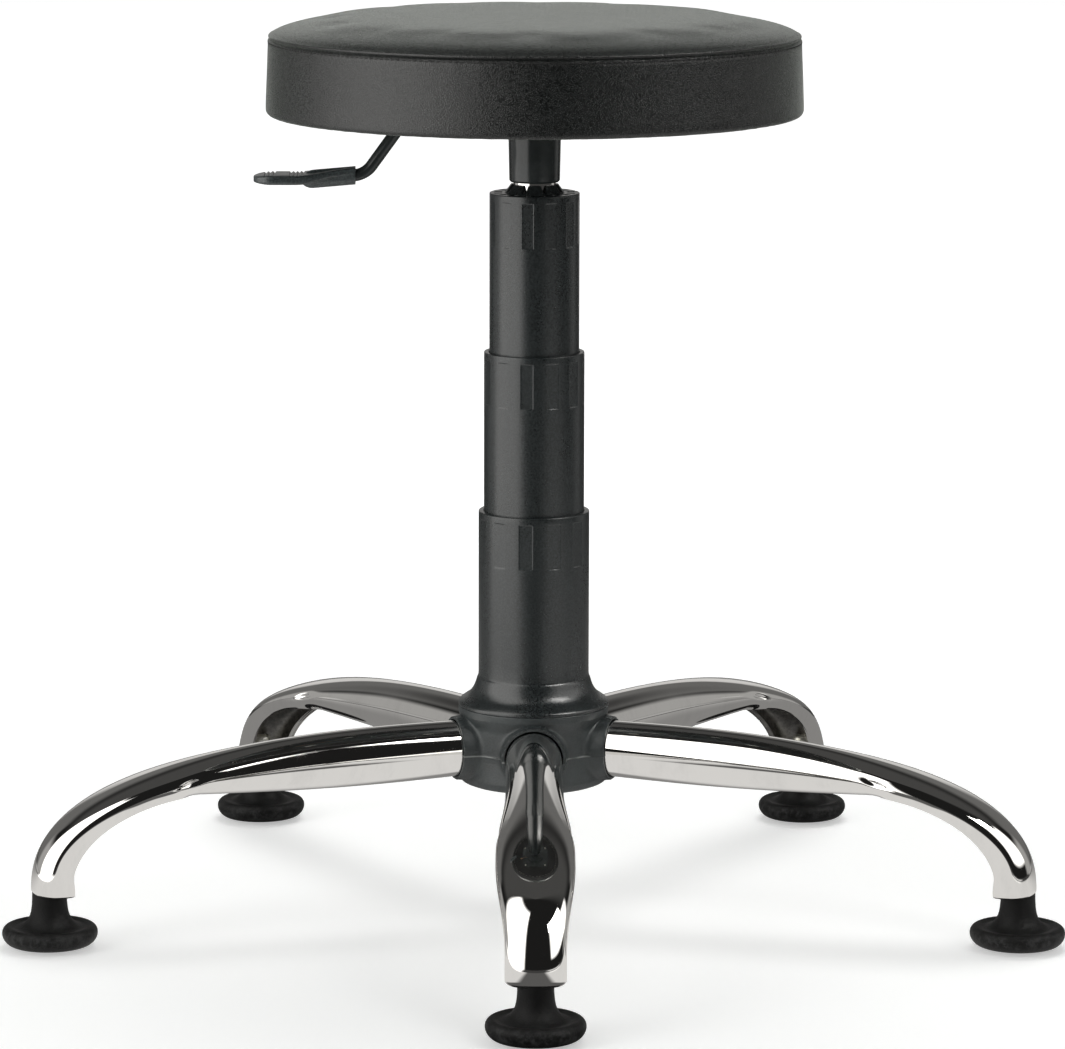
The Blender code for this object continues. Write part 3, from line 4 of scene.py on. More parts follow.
import bpy
import numpy as np
from bpy.props import FloatProperty, FloatVectorProperty, IntProperty, PointerProperty
from mathutils import Euler, Matrix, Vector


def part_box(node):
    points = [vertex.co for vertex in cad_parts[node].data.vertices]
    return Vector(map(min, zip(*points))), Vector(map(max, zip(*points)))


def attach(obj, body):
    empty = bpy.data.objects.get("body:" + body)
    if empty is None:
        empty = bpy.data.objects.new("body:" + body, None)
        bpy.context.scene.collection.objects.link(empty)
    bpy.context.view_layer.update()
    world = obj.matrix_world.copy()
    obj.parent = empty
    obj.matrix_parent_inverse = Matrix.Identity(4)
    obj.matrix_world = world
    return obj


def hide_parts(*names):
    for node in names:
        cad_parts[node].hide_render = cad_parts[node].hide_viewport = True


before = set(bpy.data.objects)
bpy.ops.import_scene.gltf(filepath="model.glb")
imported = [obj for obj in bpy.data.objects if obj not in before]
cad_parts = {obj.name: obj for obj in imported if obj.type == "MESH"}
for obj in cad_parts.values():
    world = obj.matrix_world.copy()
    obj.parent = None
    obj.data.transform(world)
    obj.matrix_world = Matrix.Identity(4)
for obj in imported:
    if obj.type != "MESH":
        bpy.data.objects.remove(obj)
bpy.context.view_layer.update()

bl_info = {
    "name": "Work stool",
    "version": (1, 0, 0),
    "blender": (4, 5, 0),
    "location": "3D View > Sidebar > Stool",
    "description": "Builds the visible pieces of a round work stool and its studio",
    "category": "Object",
}


def corner_levels(node):
    """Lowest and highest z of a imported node."""
    low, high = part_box(node)
    return low.z, high.z


# The column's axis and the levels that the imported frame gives
TUBE_LOW, TUBE_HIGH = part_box("column_tube")
AXIS_Y = (TUBE_LOW.y + TUBE_HIGH.y) / 2
SEAT_LOW, SEAM_LEVEL = corner_levels("seat_side_band")
CROWN_TOP = corner_levels("seat_top_cover")[1]
BOARD_TOP = corner_levels("seat_board")[1]
CLOTH_LOW, CLOTH_TOP = corner_levels("seat_dust_cover")
SOCKET_LOW, SOCKET_TOP = corner_levels("socket_tube")
CYLINDER_LOW, CYLINDER_TOP = corner_levels("gas_cylinder")
STAGE_BOTTOM_LOW, STAGE_BOTTOM_TOP = corner_levels("cover_stage_bottom")
STAGE_MIDDLE_LOW, STAGE_MIDDLE_TOP = corner_levels("cover_stage_middle")
STAGE_TOP_LOW, FINGER_TOP = corner_levels("cover_stage_top")
HUB_PARTING, HUB_TOP = corner_levels("hub_upper")
HUB_BOTTOM = corner_levels("hub_lower")[0]
LEG_RIM, LEG_CROWN = corner_levels("leg_1")
GLIDE_TOP = corner_levels("glide_1")[1]

# Sizes of the seat, in metres as all lengths here. Points within a hair count as one.
SEAT_RADIUS = 0.175
SEAM_RADIUS = 0.1732
BOARD_RADIUS = 0.1735
WRAP_RADIUS = 0.150
BAND_BEND = 0.004
BAND_EDGE = 0.0035
COVER_THICKNESS = 0.0012
THREAD_LENGTH = 0.0027
THREAD_RADIUS = 0.00033
GAP = 0.0003
HAIR = 0.0001

# Rows and columns of the cushion, and what its padding's simulation uses
CUSHION_COLUMNS = 544
CROWN_SPACING = 0.0022
SEAM_SPACING = 0.0004
BAND_SPACING = 0.0007
UNDERSIDE_SPACING = 0.008
PADDING_COLUMNS = 96
PADDING_FRAMES = 20
PANEL_ROWS = 26
BAND_ROWS = 16
UNDERSIDE_ROWS = 8
HELD_ROWS = 6
SWELL_SMOOTHING = 14
CLOTH_SETTINGS = {
    "quality": 5, "mass": 0.3, "tension_stiffness": 40, "compression_stiffness": 40,
    "shear_stiffness": 20, "bending_stiffness": 2, "use_pressure": True,
}

# Bell curves along the cover: height, distance from the seam down the band, and width
SEAM_WIDTH = 0.00075
PANEL_ROLL = (0.0005, -0.0019, 0.0011)
BAND_ROLL = (0.00028, 0.0012, 0.0008)
PUCKERS = (0.00014, 0.006, 0.008)
WAVES = (0.00026, 0.020, 0.018)
CREASES = (0.00010, 0.010, 0.009)
CREASE_SIDE = -0.62

# Bell curves along the band, from the join at the back
JOIN_GROOVE = (-0.0009, 0, 0.0009)
JOIN_ROLL = (0.0003, 0.0024, 0.0012)

# The stitch row's groove, how much it swings with each stitch, and slow dents and pleats in the cover
STITCH_DEPTH = 0.00028
STITCH_WIDTH = 0.0007
STITCH_SWING = 0.00012
STITCH_SWING_WIDTH = 0.0013
DENT_HEIGHT = 0.00015
PLEAT_HEIGHT = 0.00035

# The dust cloth, its cut-outs and its staples
CLOTH_RADIUS = 0.1497
CLOTH_INSET = 0.00015
CLOTH_SLACK = 0.00012
SLOT_START = -0.093
SLOT_END = 0.0063
SLOT_HALF = 0.006
SCREW_HOLE = 0.0033
CUT_MARGIN = 0.002
STAPLE_CIRCLE = 0.1455
STAPLE_HALF = 0.005
STAPLE_TOP = 0.0010
STAPLE_FOOT = -0.0002
STAPLE_BEND = 0.0005
STAPLE_WIDTH = 0.00045
STAPLE_THICKNESS = 0.00025

# Sizes of the column's pieces
STAGE_RADIUS = {"bottom": 0.0365, "middle": 0.033, "top": 0.0295}
STAGE_WALL = 0.0018
STAGE_LIP = 0.003
CYLINDER_RADIUS = 0.014
CYLINDER_WALL = 0.0025
CYLINDER_HEAD = 0.017
VALVE_HOLE = 0.0034
SOCKET_TOP_RADIUS = 0.01725
SOCKET_FOOT_RADIUS = 0.0166
FLARE_RADIUS = 0.0498
FLARE_HEIGHT = 0.0186
RECESS_COUNT = 12
RECESS_PHASE = math.radians(-8.5)
RECESS_HALF = math.radians(7)
RECESS_FOOT = 0.034
RECESS_HEAD = 0.0045
SLIDE_GAP = 0.0004
SLEEVE_COLUMNS = 720
FINGER_COUNT = 8
FINGER_HEIGHT = 0.0056
FINGER_FOOT = 0.0199
NOTCH = (math.radians(1.0), math.radians(0.6))
NOTCH_MOUTH = (math.radians(4.2), math.radians(3.4))
NOTCH_DEPTH = 0.94
POCKET_COUNT = 16
POCKET = (math.radians(4.2), math.radians(0.9))
POCKET_DEPTH = 0.0016

# Sizes of the hub
HUB_RADIUS = 0.0498
HUB_WAIST = 0.0476
HUB_WALL = 0.003
HUB_INNER = 0.0303
COLLAR_RADIUS = 0.0211
COLLAR_REACH = 0.0548
COLLAR_BLEND = 0.0026
HUB_COLUMNS = 480
HUB_SPACING = 0.0009
PARTING_GAP = 0.00008
PARTING_WAVE = 0.0007
ARCH_GAP = 0.0007
ARCH_START = 0.024
ARCH_END = 0.061
LEG_SCREW_PLACE = 0.041
COUNTERBORE_RADIUS = 0.0056
COUNTERBORE_DEPTH = 0.0042

# The legs: the back and underside lines are superellipses from the shoulder to the foot, and the turns
# along them are where the width swells and falls and where the tube opens
LEG_COUNT = 5
FOOT_RADIUS = 0.3301
LEG_START = 0.036
SHOULDER_START = 0.051
BEND_START = 0.231
TUBE_WIDTH = 0.0372
TUBE_HEIGHT = 0.0368
TUBE_SAG = 0.0024
SHOULDER_WIDTH = 0.0492
TIP_WIDTH = 0.038
TOE = 0.0115
HEEL = 0.0141
BACK_POWER = 2.5
UNDERSIDE_POWER = 2.1
SWELL_TURNS = (math.radians(14), math.radians(45))
FALL_TURNS = (math.radians(50), math.radians(82))
OPENING_TURNS = (math.radians(-2), math.radians(7))
TUBE_WALL = 0.0025
RIM_WALL = 0.0038
STEM_RADIUS = 0.005
RIM_DROP = 0.0026
LEG_TIP = LEG_RIM - RIM_DROP
LIP_TRIM = 0.24
TRIM_START = 0.003
TRIM_END = 0.016
LIP_LEAN = 0.10
LIP_SEAM = 0.006
LEG_STATIONS = 170
LEG_OUTLINE = 72
LIP_POINTS = 6
PINCH_PLACE = 0.240
PINCH_SIDE = 0.47
PINCH_SLANT = 0.080
PINCH_LENGTH = 0.0075
PINCH_WIDTH = 0.055
FOOT_ROUND = 0.0017
FOOT_THINNEST = 0.09
BOSS_TOP = 0.0583
BOSS_FOOT = 0.0358
GLIDE_BORE_TOP = 0.0155

# The lever: its rod, then its paddle's mouth, pad, neck and grooves
ROD_RADIUS = 0.004
LEVER_INNER_END = 0.006
LEVER_INNER_TAPER = 0.00036
TAPER_START = 0.030
TAPER_END = 0.038
LEVER_CORNER = 0.0843
LEVER_DROP = 0.0366
LEVER_SLOPE = math.radians(54)
SOCKET_SLOPE = math.radians(5)
LEVER_UPPER_BEND = 0.014
LEVER_LOWER_BEND = 0.016
ROD_CHAMFER = 0.0008
ROD_DEPTH = 0.0125
PADDLE_MOUTH_RADIUS = 0.00605
PADDLE_BORE_DEPTH = 0.0135
PAD_HALF_WIDTH = 0.0122
PAD_HALF_HEIGHT = 0.0034
PAD_LEAN = 0.055
PAD_DROP = 0.0022
PAD_RISE = 0.0052
TOP_POWER = 6
BOTTOM_POWER = 3
NECK_HALF_WIDTH = 0.0062
NECK_HALF_HEIGHT = 0.0026
TIP_LENGTH = 0.0135
SOCKET_LENGTH = 0.027
GROOVES = (-0.1754, -0.1727, -0.1698, -0.1590, -0.1563, -0.1537, -0.1511)
GROOVE_DEPTH = 0.0009

# The photograph's camera, in metres, pixels and radians
PHOTO_WIDTH = 1065
CAMERA_DISTANCE = 3.4478
CAMERA_SIDE = -0.0172
CAMERA_HEIGHT = 0.8631
CAMERA_PITCH = math.radians(9.95)
CAMERA_YAW = -0.005
CAMERA_ROLL = 0.002
CAMERA_FOCAL = 5305.02
CAMERA_SHIFT = -0.0014
SENSOR_WIDTH = 36.0

# The studio in metres: the paper floor, and each lamp's place and size
FLOOR_RADIUS = 8.0
LAMP_TARGET = (0, AXIS_Y, 0.35)
LAMPS = {
    "window": ((-2.4, -1.5, 1.35), (1.6, 1.8)),
    "key": ((1.7, -1.9, 1.7), (0.7, 0.9)),
    "top": ((0.3, 0.9, 2.4), (1.6, 1.2)),
}

# Areas of the studio that mirrors show: from, to and softness across in degrees, the same upward, and
# brightness. Across is counted from the front, and for the sides it is the same to the left and right.
WINDOW_AREA = ((-100, -30, 4), (-1, 73, 3), 2.2)
KEY_AREA = ((43, 104, 3), (10, 44, 2), 1.5)
STRIP_AREA = ((43, 84, 3), (44, 54, 1.5), 16)
SIDE_AREAS = ((100, 126, 6), (-3, 24, 5), 0.36)


# Settings that a user would change

class StoolSizes(bpy.types.PropertyGroup):
    """Sizes of what the frame leaves to the looks."""

    crown_start: FloatProperty(
        name="Crown start", description="How much lower the crown is before the padding swells",
        default=0.0012, min=0, unit="LENGTH",
    )
    padding_pressure: FloatProperty(
        name="Padding pressure", description="Pressure of the padding under the cover", default=4.0, min=0,
    )
    padding_limit: FloatProperty(
        name="Padding limit", description="How far the padding may move the cover", default=0.0016,
        min=0, unit="LENGTH",
    )
    seam_depth: FloatProperty(
        name="Seam depth", description="Depth of the groove between panel and band", default=0.0015,
        min=0, unit="LENGTH",
    )
    stitch_count: IntProperty(
        name="Stitches", description="Stitches in the row below the seam", default=272, min=12,
    )
    stitch_drop: FloatProperty(
        name="Stitch drop", description="Distance of the stitches below the seam", default=0.0024,
        min=0, unit="LENGTH",
    )
    recess_depth: FloatProperty(
        name="Recess depth", description="Depth of the shallow recesses of a cover stage",
        default=0.00018, min=0, unit="LENGTH",
    )
    flash_height: FloatProperty(
        name="Parting flash", description="How far the flash of the hub's parting line stands out",
        default=0.0004, min=0, unit="LENGTH",
    )
    pinch_depth: FloatProperty(
        name="Leg pinch", description="Depth of the pressed crease where a leg's tube opens",
        default=0.0016, min=0, unit="LENGTH",
    )
    staple_count: IntProperty(
        name="Staples", description="Staples that hold the dust cloth", default=40, min=4,
    )


class StoolColours(bpy.types.PropertyGroup):
    """Colours of the finishes."""

    leatherette: FloatVectorProperty(
        name="Leatherette", description="Grained cover of the cushion", default=(0.009, 0.0108, 0.0105),
        subtype="COLOR", min=0, max=1,
    )
    plastic: FloatVectorProperty(
        name="Plastic", description="Moulded covers, hub and paddle", default=(0.012, 0.0145, 0.0148),
        subtype="COLOR", min=0, max=1,
    )
    paint: FloatVectorProperty(
        name="Paint", description="Black paint of the socket, plate and lever",
        default=(0.026, 0.030, 0.030), subtype="COLOR", min=0, max=1,
    )
    chrome: FloatVectorProperty(
        name="Chrome", description="Plating of the legs and the gas cylinder", default=(0.88, 0.87, 0.85),
        subtype="COLOR", min=0, max=1,
    )
    rubber: FloatVectorProperty(
        name="Glide", description="Black of the glides", default=(0.004, 0.004, 0.004),
        subtype="COLOR", min=0, max=1,
    )


class StoolStudio(bpy.types.PropertyGroup):
    """The light of the studio."""

    fill: FloatProperty(
        name="Fill", description="Even light from all round", default=0.34, min=0,
    )
    window: FloatProperty(
        name="Window", description="Power of the large lamp at the left, in watts", default=24.0, min=0,
    )
    key: FloatProperty(
        name="Key", description="Power of the small lamp at the right, in watts", default=8.0, min=0,
    )
    top: FloatProperty(
        name="Top", description="Power of the lamp overhead, in watts", default=22.0, min=0,
    )


# Surfaces

def smoothstep(value, low, high):
    """0 below low, 1 above high, and 3t^2 - 2t^3 between them."""
    share = np.clip((value - low) / (high - low), 0, 1)
    return share * share * (3 - 2 * share)


def ripple(angle, seed, low, high, terms=7):
    """A smooth wave round the turn: a sum of cosines with whole numbers of waves, at most 1 high."""
    chance = np.random.default_rng(seed)
    waves = chance.integers(low, high + 1, terms)
    phases = chance.uniform(0, math.tau, terms)
    heights = chance.uniform(0.4, 1.0, terms)
    angle = np.asarray(angle)
    total = (heights * np.cos(angle[..., None] * waves + phases)).sum(axis=-1)
    return total / heights.sum()


def rounded(corners, radii, steps=5):
    """A polyline with each corner replaced by an arc that touches both its sides.

    The arc starts and ends at radius / tan(half the corner's angle) from the corner.
    """
    corners = [np.asarray(corner, dtype=float) for corner in corners]
    path = []
    for k, (corner, radius) in enumerate(zip(corners, radii)):
        if not radius:
            path.append(corner[None])
            continue
        before, after = corners[k - 1], corners[(k + 1) % len(corners)]
        one = (before - corner) / np.linalg.norm(before - corner)
        two = (after - corner) / np.linalg.norm(after - corner)
        half = math.acos(np.clip(one @ two, -1, 1)) / 2
        centre = corner + (one + two) / np.linalg.norm(one + two) * radius / math.sin(half)
        start = corner + one * radius / math.tan(half) - centre
        end = corner + two * radius / math.tan(half) - centre
        swing = math.pi - 2 * half
        share = np.linspace(0, 1, steps + 1)[:, None]
        arc = (np.sin((1 - share) * swing) * start + np.sin(share * swing) * end) / math.sin(swing)
        path.append(centre + arc)
    return np.concatenate(path)


def finer(path, spacing, closed=False):
    """A polyline with points added on its sides, no further apart than the spacing."""
    ends = np.roll(path, -1, axis=0) if closed else path[1:]
    starts = path if closed else path[:-1]
    parts = []
    for start, end in zip(starts, ends):
        count = max(1, math.ceil(np.linalg.norm(end - start) / spacing))
        share = np.arange(count)[:, None] / count
        parts.append(start + (end - start) * share)
    if not closed:
        parts.append(path[-1:])
    return np.concatenate(parts)


def eased(path, rounds=3, closed=False):
    """A polyline with its corners cut at a quarter and three quarters of each side, several times."""
    for _ in range(rounds):
        after = np.roll(path, -1, axis=0) if closed else path[1:]
        before = path if closed else path[:-1]
        cut = np.stack([before * 0.75 + after * 0.25, before * 0.25 + after * 0.75], axis=1)
        cut = cut.reshape(-1, path.shape[1])
        path = cut if closed else np.concatenate([path[:1], cut, path[-1:]])
    return path


def build_mesh(name, vertices, quads, triangles):
    """A mesh from arrays of points, four-sided and three-sided faces, turned to face outwards."""
    fan = np.concatenate([quads[:, [0, 1, 2]], quads[:, [0, 2, 3]], triangles])
    a, b, c = (vertices[fan[:, k]] for k in range(3))
    if np.einsum("ij,ij->", a, np.cross(b, c)) < 0:
        quads, triangles = quads[:, ::-1], triangles[:, ::-1]
    mesh = bpy.data.meshes.new(name)
    mesh.vertices.add(len(vertices))
    mesh.vertices.foreach_set("co", vertices.astype(np.float32).ravel())
    corners = np.concatenate([quads.ravel(), triangles.ravel()]).astype(np.int32)
    four = np.arange(len(quads)) * 4
    three = len(quads) * 4 + np.arange(len(triangles)) * 3
    starts = np.concatenate([four, three]).astype(np.int32)
    mesh.loops.add(len(corners))
    mesh.loops.foreach_set("vertex_index", corners)
    mesh.polygons.add(len(starts))
    mesh.polygons.foreach_set("loop_start", starts)
    mesh.update(calc_edges=True)
    mesh.validate()
    mesh.shade_smooth()
    return mesh


def new_object(name, mesh, sharp=None):
    """An object for a mesh, with edges sharper than an angle in degrees kept sharp."""
    if sharp is not None:
        mesh.set_sharp_from_angle(angle=math.radians(sharp))
    piece = bpy.data.objects.new(name, mesh)
    bpy.context.scene.collection.objects.link(piece)
    return piece


def grid_faces(rows, columns, closed):
    """Four-sided faces of a grid whose columns go round, and whose rows go round too if closed."""
    index = np.arange(rows * columns).reshape(rows, columns)
    aside = np.roll(index, -1, axis=1)
    if closed:
        faces = np.stack([index, aside, np.roll(aside, -1, axis=0), np.roll(index, -1, axis=0)], axis=-1)
    else:
        faces = np.stack([index[:-1], aside[:-1], aside[1:], index[1:]], axis=-1)
    return faces.reshape(-1, 4), index


def grid_arrays(points, closed=False):
    """Arrays of a closed surface from a grid of points: rows along it, columns round it.

    An open grid gets a fan to the middle of its first and last ring, or a pole where that ring is a point.
    """
    caps = []
    if not closed:
        for end in (0, -1):
            caps.append(points[end].mean(axis=0))
            if np.ptp(points[end], axis=0).max() < 1e-7:
                points = points[1:] if end == 0 else points[:-1]
    rows, columns = points.shape[:2]
    quads, index = grid_faces(rows, columns, closed)
    vertices = points.reshape(-1, 3)
    triangles = np.zeros((0, 3), dtype=int)
    if not closed:
        first, last = len(vertices), len(vertices) + 1
        vertices = np.concatenate([vertices, np.array(caps)])
        low, high = index[0], index[-1]
        fan_low = np.stack([np.full(columns, first), np.roll(low, -1), low], axis=-1)
        fan_high = np.stack([np.full(columns, last), high, np.roll(high, -1)], axis=-1)
        triangles = np.concatenate([fan_low, fan_high])
    return vertices, quads, triangles


def surface(name, points, closed=False, sharp=None):
    """A piece from one closed grid of points."""
    return new_object(name, build_mesh(name, *grid_arrays(points, closed)), sharp)


def many(name, vertices, quads, triangles, sharp=None):
    """A piece made of equal small bodies: vertices holds one block of points for each of them."""
    count, size = vertices.shape[:2]
    shift = (np.arange(count) * size)[:, None, None]
    all_quads = (quads[None] + shift).reshape(-1, 4)
    all_triangles = (triangles[None] + shift).reshape(-1, 3)
    return new_object(name, build_mesh(name, vertices.reshape(-1, 3), all_quads, all_triangles), sharp)


def round_points(radius, height, angle):
    """Points at a radius and height round the column: angle 0 is the front, and grows to the right."""
    radius, height, angle = np.broadcast_arrays(radius, height, angle)
    return np.stack([radius * np.sin(angle), AXIS_Y - radius * np.cos(angle), height], axis=-1)


def turns(count):
    """Equal steps of a full turn."""
    return np.arange(count) * math.tau / count


def revolved(profile, columns, centre=(0.0, 0.0)):
    """A profile of (radius, height) carried round the column's axis, or round a centre off it."""
    points = round_points(profile[:, None, 0], profile[:, None, 1], turns(columns)[None])
    return points + np.array([*centre, 0.0])


def lathe(name, profile, columns, closed=False, sharp=35, centre=(0.0, 0.0)):
    """A turned piece. A closed profile is a ring, an open one starts and ends on the axis."""
    return surface(name, revolved(np.asarray(profile, dtype=float), columns, centre), closed, sharp)


def finished(piece, body, slot, recipe, *nodes):
    """Dress a piece, name its body and finish, and hide the nodes that it stands for."""
    piece.data.materials.clear()
    piece.data.materials.append(material(recipe))
    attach(piece, body)
    if nodes:
        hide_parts(*nodes)


def carved(piece, cutters):
    """Cut the cutters out of a piece and remove them."""
    for cutter in cutters:
        step = piece.modifiers.new(cutter.name, "BOOLEAN")
        step.operation = "DIFFERENCE"
        step.object = cutter
        step.solver = "EXACT"
    bpy.context.view_layer.update()
    graph = bpy.context.evaluated_depsgraph_get()
    mesh = bpy.data.meshes.new_from_object(piece.evaluated_get(graph), depsgraph=graph)
    piece.modifiers.clear()
    old = piece.data
    piece.data = mesh
    bpy.data.meshes.remove(old)
    for cutter in cutters:
        shape = cutter.data
        bpy.data.objects.remove(cutter, do_unlink=True)
        bpy.data.meshes.remove(shape)
    mesh.name = piece.name
    mesh.shade_smooth()
    mesh.set_sharp_from_angle(angle=math.radians(35))


def drill(name, radius, low, high, columns, centre):
    """A cylinder that cuts a round hole between two levels."""
    return lathe(name, [(0, low), (radius, low), (radius, high), (0, high)], columns, centre=centre)


def copies(shape, centre, along, aside, upward):
    """Points of a small shape at each centre, with its x, y and z laid along three directions."""
    return (
        centre[:, None] + shape[None, :, :1] * along[:, None] + shape[None, :, 1:2] * aside[:, None]
        + shape[None, :, 2:] * upward[:, None]
    )


# Shader words

class Value:
    """A number or vector of a shader. Operators on it add the nodes that work it out."""

    def __init__(self, finish, socket):
        self.finish = finish
        self.socket = socket

    def maths(self, operation, *others):
        """The result of a Math node on this value and others."""
        inputs = dict(enumerate((self, *others)))
        return self.finish.node("ShaderNodeMath", {"operation": operation}, inputs)

    def __add__(self, other):
        return self.maths("ADD", other)

    __radd__ = __add__

    def __mul__(self, other):
        return self.maths("MULTIPLY", other)

    __rmul__ = __mul__

    def __sub__(self, other):
        return self.maths("SUBTRACT", other)

    def __rsub__(self, other):
        return (self * -1) + other

    def __pow__(self, other):
        return self.maths("POWER", other)

    def __abs__(self):
        return self.maths("ABSOLUTE")

    def step(self, low, high):
        """0 below low, 1 above high, smooth between."""
        inputs = {0: self, 1: low, 2: high, 3: 0.0, 4: 1.0}
        return self.finish.node("ShaderNodeMapRange", {"interpolation_type": "SMOOTHSTEP"}, inputs)

    def within(self, low, high, soft):
        """1 between two values, falling to 0 over a soft edge."""
        return self.step(low - soft, low + soft) * (1 - self.step(high - soft, high + soft))


class Finish:
    """A node tree that is written in words: one method adds any node."""

    def __init__(self, tree):
        self.tree = tree
        tree.nodes.clear()

    def node(self, kind, settings=None, inputs=None, output=0):
        """Add a node: its settings first, then the values or links of its sockets."""
        node = self.tree.nodes.new(kind)
        for word, setting in (settings or {}).items():
            setattr(node, word, setting)
        for word, value in (inputs or {}).items():
            socket = node.inputs[word]
            if isinstance(value, Value):
                self.tree.links.new(value.socket, socket)
            elif isinstance(value, (tuple, list)) and socket.type == "RGBA":
                socket.default_value = (*value, 1.0) if len(value) == 3 else value
            else:
                socket.default_value = value
        return Value(self, node.outputs[output]) if node.outputs else node

    def place(self, scale=(1, 1, 1), turn=(0, 0, 0)):
        """The object's own coordinates, in metres, scaled and turned."""
        place = self.node("ShaderNodeTexCoord", output="Object")
        return self.node("ShaderNodeMapping", {}, {"Vector": place, "Scale": scale, "Rotation": turn})

    def part(self, vector, name):
        """The X, Y or Z of a vector."""
        return self.node("ShaderNodeSeparateXYZ", {}, {0: vector}, output=name)

    def axis(self, name):
        """One coordinate of a point, in metres."""
        return self.part(self.node("ShaderNodeTexCoord", output="Object"), name)

    def noise(self, scale, detail=2.0, rough=0.5, vector=None, twist=0.0):
        """Cloudy noise, 0 to 1: its waves in a metre, detail and roughness, and how much it is warped."""
        inputs = {
            "Vector": vector or self.place(), "Scale": scale, "Detail": detail, "Roughness": rough,
            "Distortion": twist,
        }
        return self.node("ShaderNodeTexNoise", {}, inputs)

    def cells(self, scale, feature="F1", chance=1.0):
        """Distance to the middle or the edge of one of many cells."""
        inputs = {"Vector": self.place(), "Scale": scale, "Randomness": chance}
        return self.node("ShaderNodeTexVoronoi", {"feature": feature}, inputs)

    def mix(self, factor, first, second):
        """A colour between two colours."""
        return self.node("ShaderNodeMix", {"data_type": "RGBA"}, {0: factor, 6: first, 7: second}, output=2)

    def bump(self, height, distance, strength):
        """A normal tilted by a height."""
        inputs = {"Height": height, "Distance": distance, "Strength": strength}
        return self.node("ShaderNodeBump", {}, inputs)

    def surface(self, **sockets):
        """The main shader, with its sockets by name."""
        inputs = {word.replace("_", " ").title(): value for word, value in sockets.items()}
        inputs = {word.replace("Ior", "IOR"): value for word, value in inputs.items()}
        return self.node("ShaderNodeBsdfPrincipled", {}, inputs)


def shade(colour, factor):
    """A colour made lighter or darker."""
    return tuple(min(channel * factor, 1.0) for channel in colour)


def material(recipe):
    """The material of a recipe, which is a function that works out a shader from a Finish. The frame has
    plain materials of the slots' names, so these names have a prefix."""
    name = f"finish_{recipe.__name__}"
    made = bpy.data.materials.get(name)
    if made is None:
        made = bpy.data.materials.new(name)
        made.use_nodes = True
        finish = Finish(made.node_tree)
        finish.node("ShaderNodeOutputMaterial", {}, {"Surface": recipe(finish)})
    return made


def colours():
    """The scene's colours of the finishes."""
    return bpy.context.scene.stool_colours


def sizes():
    """The scene's sizes of the looks."""
    return bpy.context.scene.stool_sizes


# Finishes

def leatherette(f):
    """Fine leather grain: pebbles with creases between them that painted shade darkens, duller in patches
    and lightly polished.
    """
    tone = tuple(colours().leatherette)
    warped = f.noise(420, 3.0, 0.6)
    pebble = f.cells(820, "DISTANCE_TO_EDGE").step(0.0, 0.30)
    grain = pebble * 0.7 + warped * 0.9
    patch = f.noise(13, 5.0, 0.66)
    rubbed = f.noise(90, 4.0, 0.65)
    colour = f.mix(patch.step(0.35, 0.68), shade(tone, 0.7), shade(tone, 1.5))
    # Painted shade: the creases between the pebbles are darkened to a third of the tone.
    colour = f.mix(pebble, shade(tone, 0.3), colour)
    rough = 0.13 + patch * 0.10 + rubbed * 0.10 + (1 - pebble) * 0.10
    return f.surface(
        base_color=colour, roughness=rough, normal=f.bump(grain, 0.0004, 0.42), ior=1.62,
        sheen_weight=0.55, sheen_roughness=0.3, sheen_tint=(0.95, 1.0, 0.93, 1.0),
    )


def moulded(f, tone):
    """Moulded plastic of a tone, with a fine eroded texture and faint flow marks."""
    fine = f.noise(820, 3.0, 0.7)
    flow = f.noise(28, 4.0, 0.6, f.place((1, 1, 0.35)))
    scuffs = f.noise(260, 3.0, 0.7).step(0.60, 0.74)
    colour = f.mix(flow.step(0.3, 0.7), shade(tone, 0.7), shade(tone, 1.3))
    colour = f.mix(fine.step(0.4, 0.62), colour, shade(tone, 2.6))
    colour = f.mix(scuffs * 0.35, colour, shade(tone, 3.8))
    rough = 0.19 + flow * 0.10 + fine * 0.10
    return f.surface(base_color=colour, roughness=rough, normal=f.bump(fine, 0.0002, 0.35), ior=1.66)


def satin_plastic(f):
    """The covers' plastic."""
    return moulded(f, tuple(colours().plastic))


def paddle_plastic(f):
    """The paddle's plastic: the covers' plastic painted 2.4 times lighter, as painted light on the paddle.
    """
    # Painted light: the whole paddle is 2.4 times lighter than the covers.
    return moulded(f, shade(tuple(colours().plastic), 2.4))


def hub_plastic(f):
    """The hub's plastic: mottled, with the whitened flash of the parting line."""
    tone = tuple(colours().plastic)
    fine = f.noise(820, 3.0, 0.7)
    mottle = f.noise(70, 5.0, 0.66)
    cloud = f.noise(24, 3.0, 0.6)
    line = abs(f.axis("Z") - HUB_PARTING)
    flash = (1 - line.step(0.0002, 0.0008)) * f.noise(90, 3.0).step(0.38, 0.6)
    colour = f.mix(mottle.step(0.3, 0.72), shade(tone, 0.9), shade(tone, 2.6))
    colour = f.mix(cloud.step(0.42, 0.7) * 0.5, colour, shade(tone, 4.2))
    colour = f.mix(fine.step(0.4, 0.62) * 0.6, colour, shade(tone, 3.4))
    colour = f.mix(flash * 0.85, colour, (0.33, 0.34, 0.33))
    rough = 0.32 + mottle * 0.16 + fine * 0.08
    return f.surface(base_color=colour, roughness=rough, normal=f.bump(fine + mottle, 0.0002, 0.8), ior=1.62)


def gloss_paint(f):
    """Black paint with a slight orange peel and dust."""
    tone = tuple(colours().paint)
    peel = f.noise(420, 2.0)
    dust = f.noise(2400, 1.0).step(0.7, 0.8)
    wear = f.noise(35, 4.0, 0.6)
    colour = f.mix(dust * 0.2, f.mix(wear.step(0.35, 0.7), tone, shade(tone, 1.7)), (0.12, 0.12, 0.12))
    rough = 0.16 + wear * 0.08 + dust * 0.1
    return f.surface(base_color=colour, roughness=rough, normal=f.bump(peel, 0.00003, 0.35), ior=1.5)


